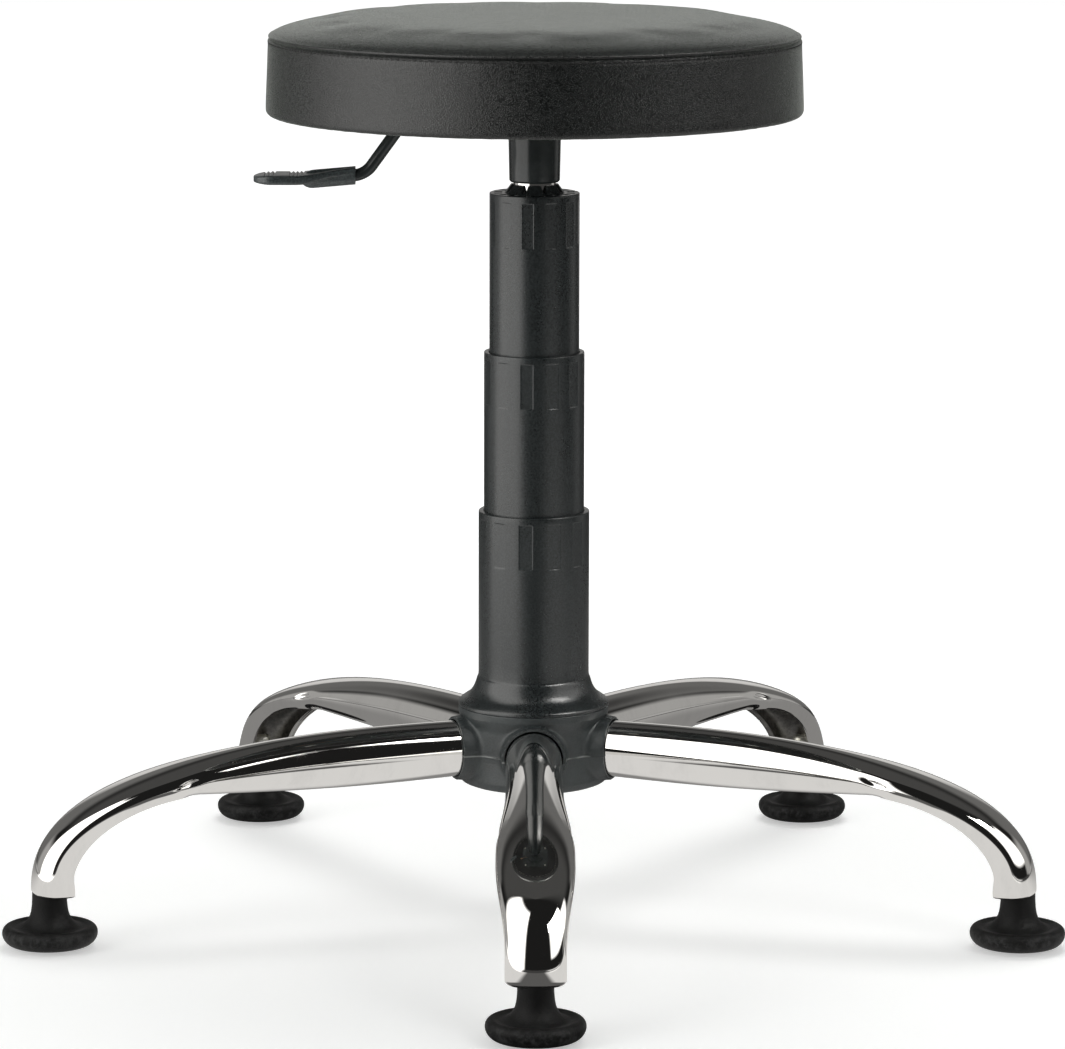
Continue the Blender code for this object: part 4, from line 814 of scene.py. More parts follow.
def chrome_plate(f):
    """Bright plating: polished steel below leaves slow waves, and handling leaves faint smears. The
    inside of a leg's channel, named by an attribute, is plated over unpolished steel."""
    tone = tuple(colours().chrome)
    wave = f.noise(22, 1.5)
    smear = f.noise(45, 4.0, 0.7, f.place((1, 1, 0.4), (0.3, 0.5, 0.1)))
    speck = f.noise(900, 2.0).step(0.66, 0.76)
    pitted = f.noise(340, 4.0, 0.7)
    inside = f.node("ShaderNodeAttribute", {"attribute_name": "inside"}, output="Fac")
    colour = f.mix(smear.step(0.45, 0.8), tone, shade(tone, 0.93))
    colour = f.mix(inside, colour, f.mix(pitted.step(0.3, 0.7), (0.30, 0.29, 0.28), (0.50, 0.49, 0.47)))
    rough = 0.03 + smear.step(0.45, 0.85) * 0.05 + speck * 0.05 + inside * (0.22 + pitted * 0.2)
    height = wave + inside * pitted * 0.5
    return f.surface(
        base_color=colour, roughness=rough, metallic=1.0, normal=f.bump(height, 0.00022, 0.3),
    )


def glide_plastic(f):
    """Matte black glide with a painted highlight: patches of lighter grey round its rim."""
    tone = tuple(colours().rubber)
    mottle = f.noise(170, 5.0, 0.72)
    fine = f.noise(1100, 3.0, 0.6)
    # Painted highlight: patches of the band 3 to 11 mm up, round the rim, nine times lighter.
    painted_rim_highlight = f.axis("Z").within(0.003, 0.011, 0.003) * mottle.step(0.40, 0.66)
    colour = f.mix(painted_rim_highlight, f.mix(mottle, shade(tone, 0.4), shade(tone, 1.8)), shade(tone, 9.0))
    rough = 0.42 + mottle * 0.3
    return f.surface(base_color=colour, roughness=rough, normal=f.bump(fine + mottle, 0.0003, 0.8), ior=1.3)


def zinc_plate(f):
    """Bright zinc with a faint mottled passivation."""
    cloud = f.noise(130, 4.0, 0.6)
    scratch = f.noise(700, 2.0, 0.5, f.place((1, 1, 0.1)))
    colour = f.mix(cloud.step(0.3, 0.7), (0.62, 0.63, 0.60), (0.74, 0.72, 0.62))
    rough = 0.26 + cloud * 0.16 + scratch * 0.08
    return f.surface(base_color=colour, roughness=rough, metallic=1.0, normal=f.bump(scratch, 0.00003, 0.4))


def ground_steel(f):
    """Ground steel with fine marks round its axis."""
    marks = f.noise(60, 3.0, 0.6, f.place((1, 1, 60)))
    stain = f.noise(40, 3.0)
    colour = f.mix(stain.step(0.35, 0.7), (0.46, 0.46, 0.47), (0.58, 0.58, 0.58))
    rough = 0.2 + marks * 0.16
    return f.surface(base_color=colour, roughness=rough, metallic=1.0, normal=f.bump(marks, 0.00002, 0.4))


def plywood(f):
    """Beech plywood: thin plies on edge, and a long grain on the faces."""
    ply = (f.axis("Z") * 3900.0).maths("SINE").step(-0.4, 0.4)
    grain = f.noise(26, 6.0, 0.65, f.place((1, 14, 1)), 0.6)
    pores = f.noise(700, 2.0, 0.5, f.place((0.2, 2, 1))).step(0.58, 0.7)
    pale, dark = (0.58, 0.41, 0.25), (0.42, 0.27, 0.15)
    colour = f.mix(grain.step(0.3, 0.7), pale, dark)
    colour = f.mix(ply * 0.35, colour, (0.33, 0.2, 0.11))
    colour = f.mix(pores * 0.5, colour, (0.22, 0.13, 0.07))
    rough = 0.55 + grain * 0.15
    return f.surface(base_color=colour, roughness=rough, normal=f.bump(grain + pores, 0.00010, 0.5))


def dust_cloth(f):
    """Black spun cloth with a grid of bonded points and loose fibres."""
    bond = f.cells(700, "F1", chance=0.15).step(0.25, 0.45)
    fibre = f.noise(500, 4.0, 0.7, None, 2.0)
    colour = f.mix(fibre.step(0.3, 0.75), (0.006, 0.006, 0.006), (0.03, 0.03, 0.03))
    rough = 0.78 + fibre * 0.15
    return f.surface(base_color=colour, roughness=rough, normal=f.bump(bond + fibre, 0.00015, 0.8))


def sewing_thread(f):
    """Twisted black thread."""
    twist = f.noise(1800, 1.0, 0.5, f.place((1, 1, 3)))
    colour = f.mix(twist, (0.004, 0.004, 0.004), (0.02, 0.02, 0.02))
    return f.surface(base_color=colour, roughness=0.6 + twist * 0.2, normal=f.bump(twist, 0.0001, 0.6))


def white_acetal(f):
    """Natural white bearing plastic with traces of grease."""
    grease = f.noise(60, 4.0, 0.6)
    colour = f.mix(grease.step(0.45, 0.75), (0.78, 0.78, 0.74), (0.62, 0.60, 0.52))
    return f.surface(base_color=colour, roughness=0.3 + grease * 0.2, normal=f.bump(grease, 0.00004, 0.3))


def black_rubber(f):
    """Dull rubber of the buffer."""
    bloom = f.noise(90, 4.0, 0.65)
    colour = f.mix(bloom.step(0.4, 0.75), (0.012, 0.012, 0.012), (0.04, 0.04, 0.038))
    return f.surface(base_color=colour, roughness=0.7 + bloom * 0.2, normal=f.bump(bloom, 0.00012, 0.5))


# The seat

def crown_height(share):
    """Height of the crowned panel as a share of its rise, at a share s of its radius: 0.67 (1 - s^8)^1.3 +
    0.33 sqrt(1 - s^40), nearly level in the middle and rolled over before the seam."""
    roll = np.sqrt(np.maximum(1 - share**40, 0))
    return 0.67 * np.maximum(1 - share**8, 0) ** 1.3 + 0.33 * roll


def cushion_profile():
    """The cushion's outline from the middle of its top, over the seam and down the band, under the
    board's edge, and back inside to the middle of its underside. Also its rows at the seam and at the
    band's turned end."""
    crown_rise = CROWN_TOP - SEAM_LEVEL - sizes().crown_start
    share = np.sin(np.linspace(0, math.pi / 2, 90)) ** 0.9
    crown = np.stack([SEAM_RADIUS * share, SEAM_LEVEL + crown_rise * crown_height(share)], axis=-1)
    crown = finer(crown, CROWN_SPACING)
    seam = np.array([[SEAM_RADIUS, SEAM_LEVEL]])
    band = rounded(
        [(SEAM_RADIUS, SEAM_LEVEL), (SEAT_RADIUS, SEAT_LOW + 2 * BAND_EDGE), (SEAT_RADIUS, SEAT_LOW),
         (WRAP_RADIUS, SEAT_LOW)],
        [0, BAND_BEND, BAND_EDGE, 0],
    )
    board_edge, board_top = BOARD_RADIUS + GAP, BOARD_TOP + GAP
    wrapped = SEAT_LOW + COVER_THICKNESS
    inside = rounded(
        [(WRAP_RADIUS, SEAT_LOW), (WRAP_RADIUS, wrapped), (board_edge, wrapped), (board_edge, board_top),
         (0, board_top)],
        [0, 0, BAND_EDGE, 0.0004, 0],
    )[1:]
    outside = finer(np.concatenate([seam, band[1:]]), BAND_SPACING)
    outside = np.concatenate([outside[outside[:, 1] > SEAT_LOW + HAIR], band[-1:]])
    near = crown[crown[:, 0] < SEAM_RADIUS - HAIR]
    last = finer(np.array([near[-1], seam[0]]), SEAM_SPACING)
    under = finer(np.concatenate([band[-1:], inside]), UNDERSIDE_SPACING)[1:]
    path = np.concatenate([near[:-1], last[:-1], outside, under])
    seam_row = len(near) - 1 + len(last) - 1
    return path, seam_row, len(path) - len(under)


def smoothed(field, rounds):
    """A field on the grid, averaged with its neighbours along both ways several times."""
    for _ in range(rounds):
        field = (np.roll(field, 1, axis=1) + 2 * field + np.roll(field, -1, axis=1)) / 4
        padded_field = np.concatenate([field[:1], field, field[-1:]])
        field = (padded_field[:-2] + 2 * field + padded_field[2:]) / 4
    return field


def pressed_moves(vertices, quads, triangles, held):
    """How far each point of a closed cover moves in a cloth simulation that presses it from inside.
    The held points stay where they are."""
    mesh = build_mesh("padding", vertices, quads, triangles)
    body = new_object("padding", mesh)
    pins = body.vertex_groups.new(name="held")
    pins.add([int(point) for point in held], 1.0, "REPLACE")
    cloth = body.modifiers.new("Cloth", "CLOTH").settings
    for word, setting in CLOTH_SETTINGS.items():
        setattr(cloth, word, setting)
    cloth.uniform_pressure_force = sizes().padding_pressure
    cloth.effector_weights.gravity = 0.0
    cloth.vertex_group_mass = "held"
    scene = bpy.context.scene
    for number in range(1, PADDING_FRAMES + 1):
        scene.frame_set(number)
    graph = bpy.context.evaluated_depsgraph_get()
    moved = np.empty(len(vertices) * 3, dtype=np.float32)
    body.evaluated_get(graph).data.vertices.foreach_get("co", moved)
    scene.frame_set(1)
    bpy.data.objects.remove(body, do_unlink=True)
    bpy.data.meshes.remove(mesh)
    return moved.reshape(-1, 3) - vertices


def spread(coarse, rows, fine_rows, fine_columns):
    """A coarse grid's values at the points of a fine one, by straight interpolation along both ways."""
    along = np.interp(np.arange(fine_rows), rows, np.arange(len(rows)))
    low = np.minimum(along.astype(int), len(rows) - 2)
    rest = (along - low)[:, None]
    rowwise = coarse[low] * (1 - rest) + coarse[low + 1] * rest
    columns = coarse.shape[1]
    across = np.arange(fine_columns) * columns / fine_columns
    left = across.astype(int)
    share = (across - left)[None]
    return rowwise[:, left] * (1 - share) + rowwise[:, (left + 1) % columns] * share


def padding_swell(profile, seam_row, wrap_row):
    """How far the padding pushes the cover out, from a cloth simulation on a coarse grid.

    The coarse grid takes some of the profile's rows. It is held at the seam and from the board's edge
    inwards, and pressed from inside. Its moves along the profile's normals, limited and smoothed, are
    spread to the fine grid.
    """
    rows = np.unique(np.concatenate([
        np.linspace(0, seam_row, PANEL_ROWS), np.linspace(seam_row, wrap_row, BAND_ROWS),
        np.linspace(wrap_row, len(profile) - 1, UNDERSIDE_ROWS),
    ]).astype(int))
    vertices, quads, triangles = grid_arrays(revolved(profile[rows], PADDING_COLUMNS))
    ring_rows = np.repeat(rows[1:-1], PADDING_COLUMNS)
    held = np.flatnonzero((ring_rows >= wrap_row - HELD_ROWS) | (np.abs(ring_rows - seam_row) < 2))
    move = pressed_moves(vertices, quads, triangles, [*held, len(vertices) - 1])
    rings = move[:-2].reshape(len(rows) - 2, PADDING_COLUMNS, 3)
    pole = np.tile(move[-2], (1, PADDING_COLUMNS, 1))
    move = np.concatenate([pole, rings, np.zeros((1, PADDING_COLUMNS, 3))])
    normal = profile_normals(profile)[rows]
    angle = turns(PADDING_COLUMNS)[None]
    outward = np.stack([np.sin(angle), -np.cos(angle)], axis=-1)
    push = (move[..., :2] * outward).sum(axis=-1) * normal[:, None, 0] + move[..., 2] * normal[:, None, 1]
    push = np.clip(push, 0, sizes().padding_limit)
    push[0] = push[1].mean()
    return smoothed(spread(push, rows, len(profile), CUSHION_COLUMNS), SWELL_SMOOTHING)


def profile_normals(profile):
    """Unit normals of a profile, to the left of its way: outwards."""
    along = np.gradient(profile, axis=0)
    normal = np.stack([-along[:, 1], along[:, 0]], axis=-1)
    length = np.linalg.norm(normal, axis=1, keepdims=True)
    return normal / np.maximum(length, 1e-12)


def path_length(profile):
    """Distance along a profile from its first point."""
    steps = np.linalg.norm(np.diff(profile, axis=0), axis=1)
    return np.concatenate([[0.0], np.cumsum(steps)])


def hill(distance, width):
    """A bell curve, 1 at its middle."""
    return np.exp(-(distance / width) ** 2)


def bell(distance, height, place, width):
    """A bell curve of a height, with its middle at a place."""
    return height * hill(distance - place, width)


def cushion_relief(distance, angle, height):
    """Height that sewing and handling give the cover, along its normal.

    distance is the way along the profile from the seam, down the band positive. The seam is a narrow
    bell-shaped groove. The stitch row is a shallow one whose depth swings once for each stitch. Slow waves
    round the turn fade out away from the seam, and a join crosses the band at the back.
    """
    size = sizes()
    seam = bell(distance, -size.seam_depth, 0, SEAM_WIDTH) + bell(distance, *PANEL_ROLL)
    swing = np.cos(angle * size.stitch_count)
    stitches = bell(distance, -STITCH_DEPTH, size.stitch_drop, STITCH_WIDTH)
    stitches = stitches - bell(distance, STITCH_SWING, size.stitch_drop, STITCH_SWING_WIDTH) * swing
    roll = bell(distance, *BAND_ROLL)
    puckers = ripple(angle, 3, 30, 80, 12) * bell(distance, *PUCKERS)
    waves = ripple(angle, 5, 3, 14, 9) * bell(distance, *WAVES)
    creases = ripple(angle + distance * 30, 11, 40, 64, 8) * bell(distance, *CREASES)
    creases = creases * smoothstep(np.cos(angle - CREASE_SIDE), 0.55, 0.95)
    behind = np.abs(angle - math.pi) * SEAT_RADIUS
    join = bell(behind, *JOIN_GROOVE) + bell(behind, *JOIN_ROLL)
    join = join * smoothstep(distance, 0.0, 0.0015) * smoothstep(height, SEAT_LOW, SEAT_LOW + 0.003)
    return seam + stitches + roll + puckers + waves + creases + join


def make_cushion():
    """The cushion as one closed padded form, with its seam, stitches and the pull of its staples."""
    profile, seam_row, wrap_row = cushion_profile()
    swell = padding_swell(profile, seam_row, wrap_row)
    normal = profile_normals(profile)
    distance = (path_length(profile) - path_length(profile)[seam_row])[:, None]
    angle = turns(CUSHION_COLUMNS)[None]
    rows = np.arange(len(profile))[:, None]
    outside = smoothstep(-rows, -wrap_row + 2.0, -wrap_row + 10.0)
    relief = cushion_relief(distance, angle, profile[:, 1:]) * outside
    dents = DENT_HEIGHT * ripple(angle, 23, 1, 6, 8) * smoothstep(profile[:, :1], 0.02, 0.09)
    push = swell + relief + dents * (rows < seam_row - 10)
    underside = (rows >= wrap_row - 14) & (rows <= wrap_row + 2)
    pleats = PLEAT_HEIGHT * np.abs(ripple(angle, 31, 24, 60, 10)) * underside
    radius = profile[:, :1] + normal[:, :1] * push
    height = profile[:, 1:] + normal[:, 1:] * push + pleats
    radius[[0, -1]] = 0.0
    height[0] = height[1].mean()
    height[-1] = profile[-1, 1]
    cushion = surface("seat_cushion", round_points(radius, height, angle), sharp=50)
    finished(cushion, "seat", "leatherette", leatherette, "seat_top_cover", "seat_side_band", "seat_foam")
    stitch_row = int(np.argmin(np.abs(distance[:, 0] - sizes().stitch_drop)))
    return radius[stitch_row], height[stitch_row]


def thread_shape(length, radius, sides=6, rings=5):
    """A short round thread along x with domed ends: rings whose radius is the square root of sin t, at
    -cos t of its half length."""
    turn = np.linspace(0, math.pi, rings + 2)
    across = radius * np.sin(turn) ** 0.5
    around = turns(sides)
    x = np.repeat((-np.cos(turn) * length / 2)[:, None], sides, axis=1)
    y = across[:, None] * np.cos(around)[None]
    z = across[:, None] * np.sin(around)[None]
    points = np.stack([x, y, z], axis=-1)
    points[0, :, 1:] = 0
    points[-1, :, 1:] = 0
    return grid_arrays(points)


def make_stitches(row_radius, row_height):
    """A row of short threads laid in the cover below the seam, each tilted a little."""
    count = sizes().stitch_count
    shape, quads, triangles = thread_shape(THREAD_LENGTH, THREAD_RADIUS)
    angle = (np.arange(count) + 0.5) * math.tau / count
    columns = len(row_radius)
    nearest = np.round(angle / math.tau * columns).astype(int) % columns
    tilt = np.random.default_rng(7).normal(0.10, 0.05, count)
    along = np.stack([np.cos(angle), np.sin(angle), tilt], axis=-1)
    along = along / np.linalg.norm(along, axis=1, keepdims=True)
    outward = np.stack([np.sin(angle), -np.cos(angle), np.zeros(count)], axis=-1)
    centre = round_points(row_radius[nearest] + 0.00002, row_height[nearest], angle)
    blocks = copies(shape, centre, along, outward, np.cross(along, outward))
    stitches = many("seat_stitches", blocks, quads, triangles)
    finished(stitches, "seat", "leatherette", sewing_thread)


def make_dust_cloth():
    """The thin cloth under the board, slack between its staples, cut out for the lever and the screws."""
    edge = CLOTH_RADIUS - np.array([0.0057, 0.0027, 0.0009, 0.0])
    radius = np.concatenate([np.linspace(0, 0.14, 15), edge])[:, None]
    angle = turns(240)[None]
    slack = CLOTH_SLACK * ripple(angle, 41, 16, 44, 10) * smoothstep(radius, 0.10, 0.149)
    bottom = round_points(radius, CLOTH_LOW + CLOTH_INSET + slack, angle)
    top = round_points(radius, CLOTH_TOP - CLOTH_INSET + slack, angle)[::-1]
    cloth = surface("dust_cloth", np.concatenate([bottom, top]), sharp=60)
    low, high = CLOTH_LOW - CUT_MARGIN, CLOTH_TOP + CUT_MARGIN
    slot = box_cutter((SLOT_START, -SLOT_HALF, low), (SLOT_END, SLOT_HALF, high))
    holes = [
        drill(f"hole_{k}", SCREW_HOLE, low, high, 24, spot) for k, spot in enumerate(screw_places())
    ]
    carved(cloth, [slot, *holes])
    finished(cloth, "seat", "black_cloth", dust_cloth, "seat_dust_cover")


def box_cutter(low, high):
    """A box between two corners, placed about the column's axis."""
    low, high = np.array(low), np.array(high)
    corner = np.array([[0, 0], [1, 0], [1, 1], [0, 1]])
    ring = low[:2] + (high[:2] - low[:2]) * corner
    rows = [np.column_stack([ring, np.full(4, height)]) for height in (low[2], high[2])]
    points = np.stack(rows) + np.array([0, AXIS_Y, 0])
    return surface("box_cutter", points)


def screw_places():
    """Centres of the seat plate's screws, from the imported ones."""
    places = []
    for number in range(1, 5):
        low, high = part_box(f"plate_screw_{number}")
        places.append(((low.x + high.x) / 2, (low.y + high.y) / 2 - AXIS_Y))
    return places


def wire_along(path, sides, width, thickness):
    """Rings round a path in the plane of x and z: ellipses of a half width along y and a half thickness
    across, which may be one number or one for each point."""
    along = np.gradient(path, axis=0)
    along = along / np.linalg.norm(along, axis=1, keepdims=True)
    side = np.array([0.0, 1.0, 0.0])
    out = np.cross(along, side)[:, None]
    around = turns(sides)[None, :, None]
    width, thickness = np.reshape(width, (-1, 1, 1)), np.reshape(thickness, (-1, 1, 1))
    return path[:, None] + width * np.cos(around) * side + thickness * np.sin(around) * out


def make_staples():
    """Staples round the edge of the dust cloth: flat wires with their ends turned up into the board."""
    count = sizes().staple_count
    path = rounded(
        [(-STAPLE_HALF, 0, STAPLE_TOP), (-STAPLE_HALF, 0, STAPLE_FOOT), (STAPLE_HALF, 0, STAPLE_FOOT),
         (STAPLE_HALF, 0, STAPLE_TOP)],
        [0, STAPLE_BEND, STAPLE_BEND, 0], 3,
    )
    shape, quads, triangles = grid_arrays(wire_along(path, 6, STAPLE_WIDTH, STAPLE_THICKNESS))
    chance = np.random.default_rng(17)
    angle = (np.arange(count) + chance.uniform(-0.15, 0.15, count)) * math.tau / count + 0.05
    twist = chance.normal(0, 0.12, count)
    direction = np.stack([np.cos(angle + twist), np.sin(angle + twist), np.zeros(count)], axis=-1)
    aside = np.stack([-direction[:, 1], direction[:, 0], np.zeros(count)], axis=-1)
    level = CLOTH_LOW + 0.00005
    centre = round_points(STAPLE_CIRCLE + chance.normal(0, 0.0006, count), level, angle)
    upward = np.tile([0.0, 0.0, 1.0], (count, 1))
    staples = many("dust_cloth_staples", copies(shape, centre, direction, aside, upward), quads, triangles)
    finished(staples, "seat", "zinc", zinc_plate)


# The column

def ring_window(angle, count, phase, half, soft):
    """1 inside equal windows round the turn and 0 between them. Also how far each angle is from the middle
    of the nearest window."""
    pitch = math.tau / count
    away = np.abs((angle - phase + pitch / 2) % pitch - pitch / 2)
    return 1 - smoothstep(away, half - soft, half + soft), away


def recessed(profile, outer, top):
    """A stage's grid with its shallow recesses: inside each window the outer wall is a flat facet, whose
    distance from the axis is the radius times cos(half the window) / cos(angle from its middle)."""
    angle = turns(SLEEVE_COLUMNS)[None]
    radius = np.repeat(profile[:, :1], SLEEVE_COLUMNS, axis=1)
    height = np.repeat(profile[:, 1:], SLEEVE_COLUMNS, axis=1)
    window, away = ring_window(angle, RECESS_COUNT, RECESS_PHASE, RECESS_HALF, math.radians(0.5))
    foot, head = top - RECESS_FOOT, top - RECESS_HEAD
    tall = smoothstep(height, foot - 0.0005, foot + 0.0005)
    tall = tall * (1 - smoothstep(height, head - 0.0002, head + 0.0002))
    on_wall = (radius > outer - 0.0004) & (height < top - 0.0008)
    flat = outer * (1 - math.cos(RECESS_HALF) / np.cos(np.minimum(away, RECESS_HALF)))
    radius = radius - (sizes().recess_depth + flat) * window * tall * on_wall
    return radius, height, angle


def sleeve_profile(outer, low, top, lip_radius, flange):
    """Closed profile of a sleeve: down its wall, over its foot's flange, up its bore and over its lip."""
    bore = outer - STAGE_WALL
    return rounded(
        [(outer, top), (outer, low + STAGE_LIP), (flange, low + STAGE_LIP), (flange, low), (bore, low),
         (bore, top - STAGE_LIP), (lip_radius, top - STAGE_LIP), (lip_radius, top)],
        [0.0005, 0.0002, 0.0003, 0.0003, 0.0002, 0.0002, 0.0002, 0.0003], 3,
    )


def wall_rows(profile, top):
    """The profile with rows added on its long sides, close together at the ends of the recesses."""
    foot, head = top - RECESS_FOOT, top - RECESS_HEAD
    levels = np.concatenate([
        np.linspace(foot - 0.001, foot + 0.001, 7), np.linspace(head - 0.0005, head + 0.0005, 6),
        np.linspace(profile[:, 1].min(), top, 14)[1:-1],
    ])
    parts = []
    for start, end in zip(profile, np.roll(profile, -1, axis=0)):
        low, high = sorted((start[1], end[1]))
        inner = levels[(levels > low + HAIR) & (levels < high - HAIR)]
        if abs(end[1] - start[1]) < 1e-3 or not len(inner):
            parts.append(start[None])
            continue
        share = np.sort((inner - start[1]) / (end[1] - start[1]))[:, None]
        parts.append(np.concatenate([start[None], start + (end - start) * share]))
    return np.concatenate(parts)


def cover_stage(level, body, points):
    """A stage of the column's cover, from its grid."""
    stage = surface(f"cover_sleeve_{level}", points, closed=True, sharp=40)
    finished(stage, body, "black_plastic", satin_plastic, f"cover_stage_{level}")


def make_stage_bottom():
    """The bottom cover stage, flared at its foot with a witness line where the flare starts."""
    outer = STAGE_RADIUS["bottom"]
    bore = outer - STAGE_WALL
    low, top = STAGE_BOTTOM_LOW, STAGE_BOTTOM_TOP
    witness = low + FLARE_HEIGHT
    flare = np.array([
        (outer + 0.0002, witness + 0.0004), (outer + 0.0007, witness - 0.0003),
        (outer + 0.0011, low + 0.0172), (outer + 0.0020, low + 0.0140), (outer + 0.0036, low + 0.0102),
        (outer + 0.0064, low + 0.0068), (outer + 0.0098, low + 0.0046),
        (FLARE_RADIUS - 0.0014, low + 0.0030), (FLARE_RADIUS - 0.0003, low + 0.0019),
        (FLARE_RADIUS, low + 0.0010), (FLARE_RADIUS, low),
    ])
    lip = STAGE_RADIUS["middle"] + SLIDE_GAP
    corners = np.concatenate([
        rounded([(bore, top), (outer, top), (outer, witness + 0.003)], [0, 0.0005, 0], 3)[1:],
        eased(flare),
        [(FLARE_RADIUS - 0.0018, low), (outer + 0.0086, low + 0.0028), (outer + 0.0030, low + 0.0072),
         (outer, low + 0.0130), (bore, low + 0.0172), (bore, top - STAGE_LIP), (lip, top - STAGE_LIP),
         (lip, top)],
    ])
    cover_stage("bottom", "base", round_points(*recessed(wall_rows(corners, top), outer, top)))


def make_stage_middle():
    """The middle cover stage, held by its foot flange."""
    outer, top = STAGE_RADIUS["middle"], STAGE_MIDDLE_TOP
    lip = STAGE_RADIUS["top"] + SLIDE_GAP
    flange = STAGE_RADIUS["bottom"] - STAGE_WALL - SLIDE_GAP
    profile = wall_rows(sleeve_profile(outer, STAGE_MIDDLE_LOW, top, lip, flange), top)
    cover_stage("middle", "cover_middle", round_points(*recessed(profile, outer, top)))


def make_stage_top():
    """The top cover stage: a flat rim with small pockets, and a crown of fingers round the cylinder.

    The fingers are a cone whose height is cut down in V-shaped notches, and the pockets lower the rim.
    """
    outer = STAGE_RADIUS["top"]
    tip = FINGER_TOP
    top = tip - FINGER_HEIGHT
    grip = CYLINDER_RADIUS + GAP
    flange = STAGE_RADIUS["middle"] - STAGE_WALL - SLIDE_GAP
    sleeve = sleeve_profile(outer, STAGE_TOP_LOW, top, grip, flange)
    sleeve = sleeve[sleeve[:, 0] > grip + 0.001]
    rim = finer(np.array([(0.0200, top), (outer - 0.0006, top)]), 0.0005)
    cone = finer(np.array([
        (grip, top - STAGE_LIP), (grip, top + 0.0006), (grip, tip - 0.0004), (grip + 0.0003, tip),
        (0.0155, tip), (0.0158, tip - 0.0004), (0.0193, top + 0.0005), (0.0197, top),
    ]), 0.0007)
    profile = wall_rows(np.concatenate([sleeve, cone, rim[:-1]]), top)
    radius, height, angle = recessed(profile, outer, top)
    between = math.pi / FINGER_COUNT
    notch, _ = ring_window(angle, FINGER_COUNT, between, *NOTCH)
    mouth, _ = ring_window(angle, FINGER_COUNT, between, *NOTCH_MOUTH)
    above = np.clip((height - top) / FINGER_HEIGHT, 0, 1)
    on_cone = (radius < FINGER_FOOT) & (height > top)
    cut = np.clip(np.maximum(notch, mouth**1.2), 0, 1) * NOTCH_DEPTH
    height = np.where(on_cone, top + (height - top) * (1 - cut * (0.25 + 0.75 * above)), height)
    between = math.pi / POCKET_COUNT
    pocket, _ = ring_window(angle, POCKET_COUNT, between, *POCKET)
    on_rim = (np.abs(height - top) < 0.0002) & (radius > 0.0216) & (radius < outer - 0.0026)
    height = height - POCKET_DEPTH * pocket * on_rim
    cover_stage("top", "seat", round_points(radius, height, angle))


def make_socket():
    """The tapered socket under the seat plate, with a small step and chamfer at its mouth."""
    low, top = SOCKET_LOW, SOCKET_TOP
    profile = rounded(
        [(SOCKET_TOP_RADIUS, top), (SOCKET_FOOT_RADIUS, low + 0.0012), (0.0157, low), (0.0143, low),
         (0.0135, top)],
        [0.0003, 0.0006, 0.0003, 0.0002, 0.0002], 4,
    )
    tube = lathe("socket_body", finer(profile, 0.004, closed=True), 160, closed=True)
    finished(tube, "seat", "black_paint", gloss_paint, "socket_tube")


def make_gas_cylinder():
    """The chrome cylinder of the gas spring, tapered at its head and crimped at its foot."""
    low, top = CYLINDER_LOW, CYLINDER_TOP
    radius, bore = CYLINDER_RADIUS, CYLINDER_RADIUS - CYLINDER_WALL
    ceiling = top - CYLINDER_HEAD
    profile = rounded(
        [(radius - 0.0008, top), (radius, SOCKET_LOW), (radius, low + 0.0012), (radius - 0.0006, low),
         (bore, low), (bore, ceiling), (VALVE_HOLE, ceiling), (VALVE_HOLE, top)],
        [0.0006, 0.0, 0.0006, 0.0004, 0.0003, 0.0, 0.0, 0.0003], 3,
    )
    tube = lathe("gas_spring_tube", finer(profile, 0.01, closed=True), 128, closed=True)
    finished(tube, "seat", "chrome", chrome_plate, "gas_cylinder")


# The hub and the legs

def leg_prism():
    """A cutter in the shape of a leg's root, larger all round by a gap: an ellipse carried outwards."""
    angle = turns(64)
    across = (TUBE_WIDTH / 2 + ARCH_GAP) * np.cos(angle)
    up = LEG_CROWN - TUBE_HEIGHT / 2 + (TUBE_HEIGHT / 2 + ARCH_GAP) * np.sin(angle)
    rings = [np.stack([across, 0 * angle - distance, up], axis=-1) for distance in (ARCH_START, ARCH_END)]
    return np.stack(rings)


def turned_about(points, angle):
    """Points turned about the column's axis. They come in about the axis, and go out in the frame."""
    cosine, sine = math.cos(angle), math.sin(angle)
    x = points[..., 0] * cosine - points[..., 1] * sine
    y = points[..., 0] * sine + points[..., 1] * cosine
    return np.stack([x, y + AXIS_Y, points[..., 2]], axis=-1)


def leg_angles():
    """Directions of the legs round the column; the first points to the front."""
    return [math.tau * number / LEG_COUNT for number in range(LEG_COUNT)]


def leg_spot(distance, angle):
    """A place in a leg's direction, as x and y from the column's axis."""
    return distance * math.sin(angle), -distance * math.cos(angle)


def hub_cutters(kind):
    """What is cut from a hub shell: the five leg arches, and below also the screws' counterbores."""
    cutters = [
        surface(f"arch_{kind}_{k}", turned_about(leg_prism(), angle))
        for k, angle in enumerate(leg_angles())
    ]
    if kind == "lower":
        low, high = HUB_BOTTOM - CUT_MARGIN, HUB_BOTTOM + COUNTERBORE_DEPTH
        cutters += [
            drill(f"counterbore_{k}", COUNTERBORE_RADIUS, low, high, 32, leg_spot(LEG_SCREW_PLACE, angle))
            for k, angle in enumerate(leg_angles())
        ]
    return cutters


